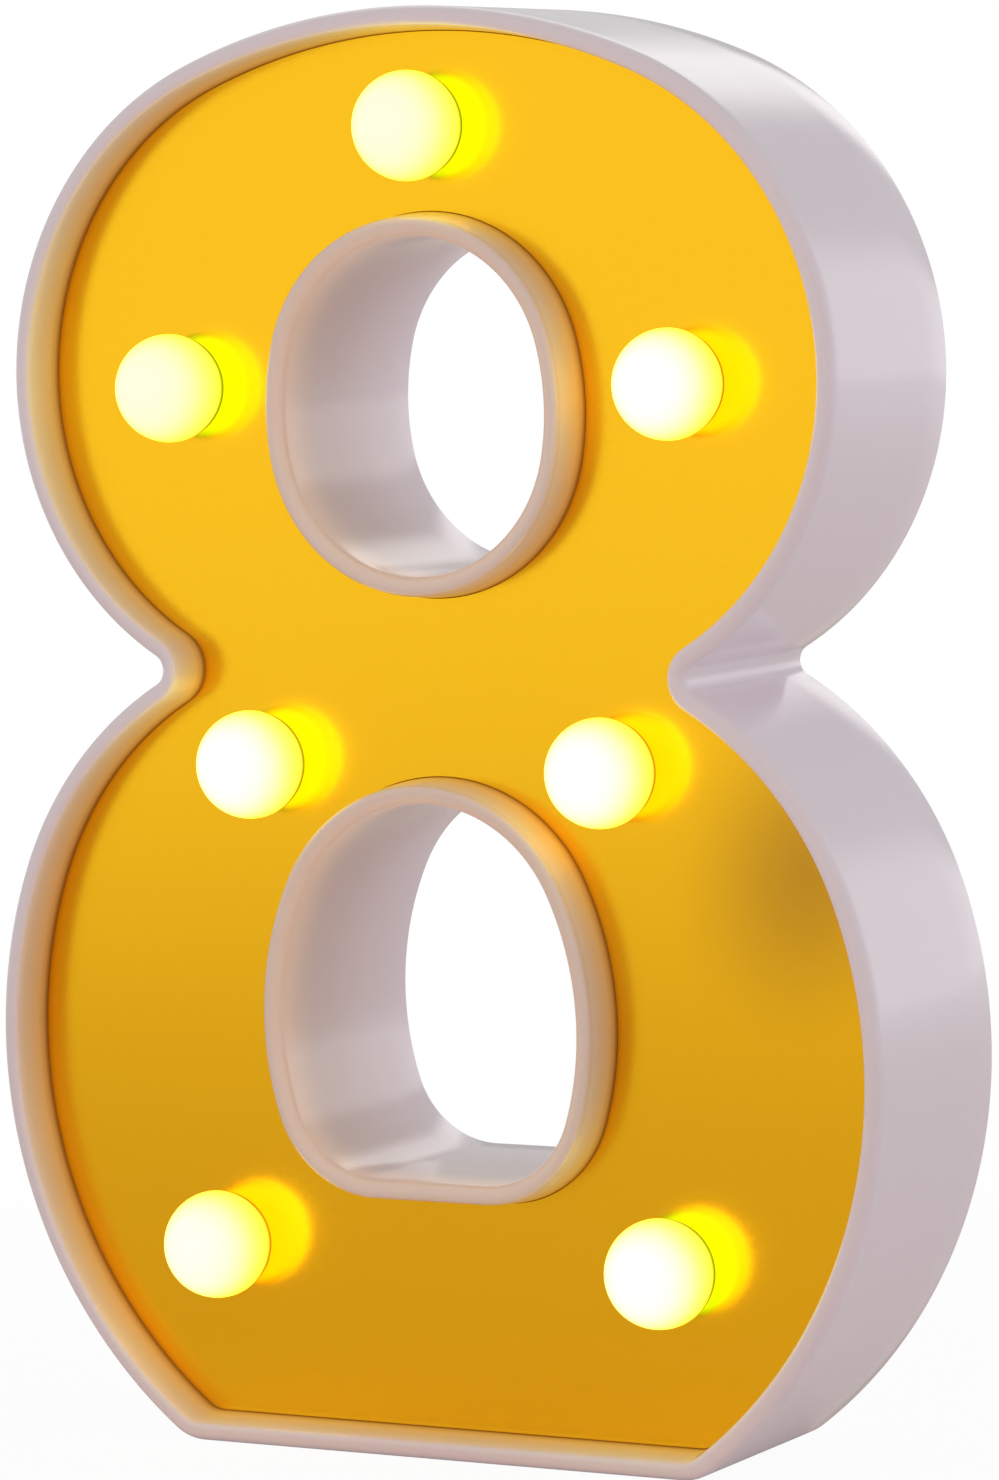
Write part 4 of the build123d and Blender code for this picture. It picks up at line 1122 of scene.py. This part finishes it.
# %% [markdown]
# The lamp stands in a tent of white cloth, so the world is an even white. What the glossy sides mirror is
# not even: behind the lamp there are a long white panel at its own height and a brighter one overhead, with
# darker gaps between them. Both run from front to back, so they are bands of the angle round the Y axis, and
# only rays that bounced off something glossy see them.

# %% World
world = bpy.data.worlds.new("studio")
bpy.context.scene.world = world
world.use_nodes = True
tree = world.node_tree
tree.nodes.clear()
way = add(tree, "SeparateXYZ", Vector=add(tree, "TexCoord").outputs["Generated"]).outputs
angle = add(tree, "Math", {"operation": "ARCTAN2"}, _0=way["Z"], _1=way["X"])
bands = add(tree, "ValToRGB", Fac=add(tree, "MapRange", Value=angle, From_Min=-pi, From_Max=pi))
bands.color_ramp.interpolation = "EASE"
levels = ((-180, 0.6), (-30, 0.6), (-14, 1.5), (28, 1.5), (50, 0.65), (86, 0.62), (112, 1.7), (128, 1.6),
          (150, 0.7), (179, 0.6))
colour_stops(bands.color_ramp, [((turn + 180) / 360, (level, level, level, 1)) for turn, level in levels])
behind = add(tree, "MapRange", soft_range, Value=way["Y"], From_Min=0.1, From_Max=0.5)
mirrored = add(tree, "Mix", {"data_type": "FLOAT"}, _0=behind, _2=1.0, _3=bands)
rays = add(tree, "LightPath").outputs
seen = add(tree, "Math", larger, _0=rays["Is Camera Ray"], _1=rays["Is Transmission Ray"])
direct = add(tree, "MapRange", Value=seen, To_Min=0.51)
level = add(tree, "Mix", {"data_type": "FLOAT"}, _0=rays["Is Glossy Ray"], _2=direct, _3=mirrored)
sky = add(tree, "Background", Color=(1, 1, 1, 1), Strength=level)
add(tree, "OutputWorld", Surface=sky)
print("world bands", len(levels))

# %% [markdown]
# Four soft lamps light the lamp: a weak one from above, and one each from the front, from the right and from
# behind. Mirrors don't see them, because the bands of the world already stand for what a mirror shows.

# %% Softboxes
lamp_middle = Vector((0, 0, height / 2 * MM))


def softbox(name, place, size, watts, colour="#ffffff"):
    light = bpy.data.lights.new(name, "AREA")
    light.size, light.energy, light.color = size, watts, linear(colour)[:3]
    lamp = new_object(name, light)
    lamp.location = place
    lamp.rotation_mode = "QUATERNION"
    lamp.rotation_quaternion = (lamp_middle - Vector(place)).to_track_quat("-Z", "Y")
    lamp.visible_glossy = False


softbox("key_softbox", (-0.3, -0.7, 0.9), 0.6, 0.25, "#ffeadd")
softbox("front_softbox", (0.1, -1.2, 0.2), 0.8, 2.8, "#ffdec6")
softbox("side_softbox", (0.9, 0.55, 0.35), 0.6, 1.85, "#f5f7ff")
softbox("back_softbox", (-0.8, 1.1, 0.13), 0.7, 2.6)

# %% [markdown]
# Each lit cap warms what stands round it. A round lamp as large as the cap, which the camera and mirrors
# don't see, gives that glow with far less grain than the small bright cap alone.

# %% Glow of the caps
for number, (x, z) in enumerate(bulbs, start=1):
    glow = bpy.data.lights.new(f"cap_glow_{number}", "POINT")
    glow.shadow_soft_size = (ball_radius + 0.3) * MM
    glow.energy = 0.06
    glow.color = linear("#ff9c28")[:3]
    lamp = new_object(glow.name, glow)
    lamp.location = Vector((x, ball_depth, z)) * MM
    lamp.visible_camera = lamp.visible_glossy = lamp.visible_transmission = False
print("lamps", len(bpy.data.lights))

# %% [markdown]
# The camera stands where the photographer stood: 934 mm away, turned 28.6 degrees to the right of the face
# and 4.8 degrees above it, with a long lens and a slight roll.

# %% Camera
azimuth, elevation, roll, distance = radians(28.62), radians(4.84), radians(-1.34), 934 * MM
target = Vector((14.30, -20.0, 110.39)) * MM
away = Vector((sin(azimuth) * cos(elevation), -cos(azimuth) * cos(elevation), sin(elevation)))
right = Vector((cos(azimuth), sin(azimuth), 0))
up = away.cross(right)
across = right * cos(roll) + up * sin(roll)
upward = up * cos(roll) - right * sin(roll)
lens = bpy.data.cameras.new("camera")
lens.sensor_fit, lens.sensor_width, lens.lens = "AUTO", 36.0, 152.05
lens.clip_start, lens.clip_end = 0.05, 20.0
camera = new_object("camera", lens)
facing = Matrix((across, upward, away)).transposed().to_4x4()
camera.matrix_world = Matrix.Translation(target + away * distance) @ facing
bpy.context.scene.camera = camera
bpy.context.scene.view_settings.view_transform = "Standard"
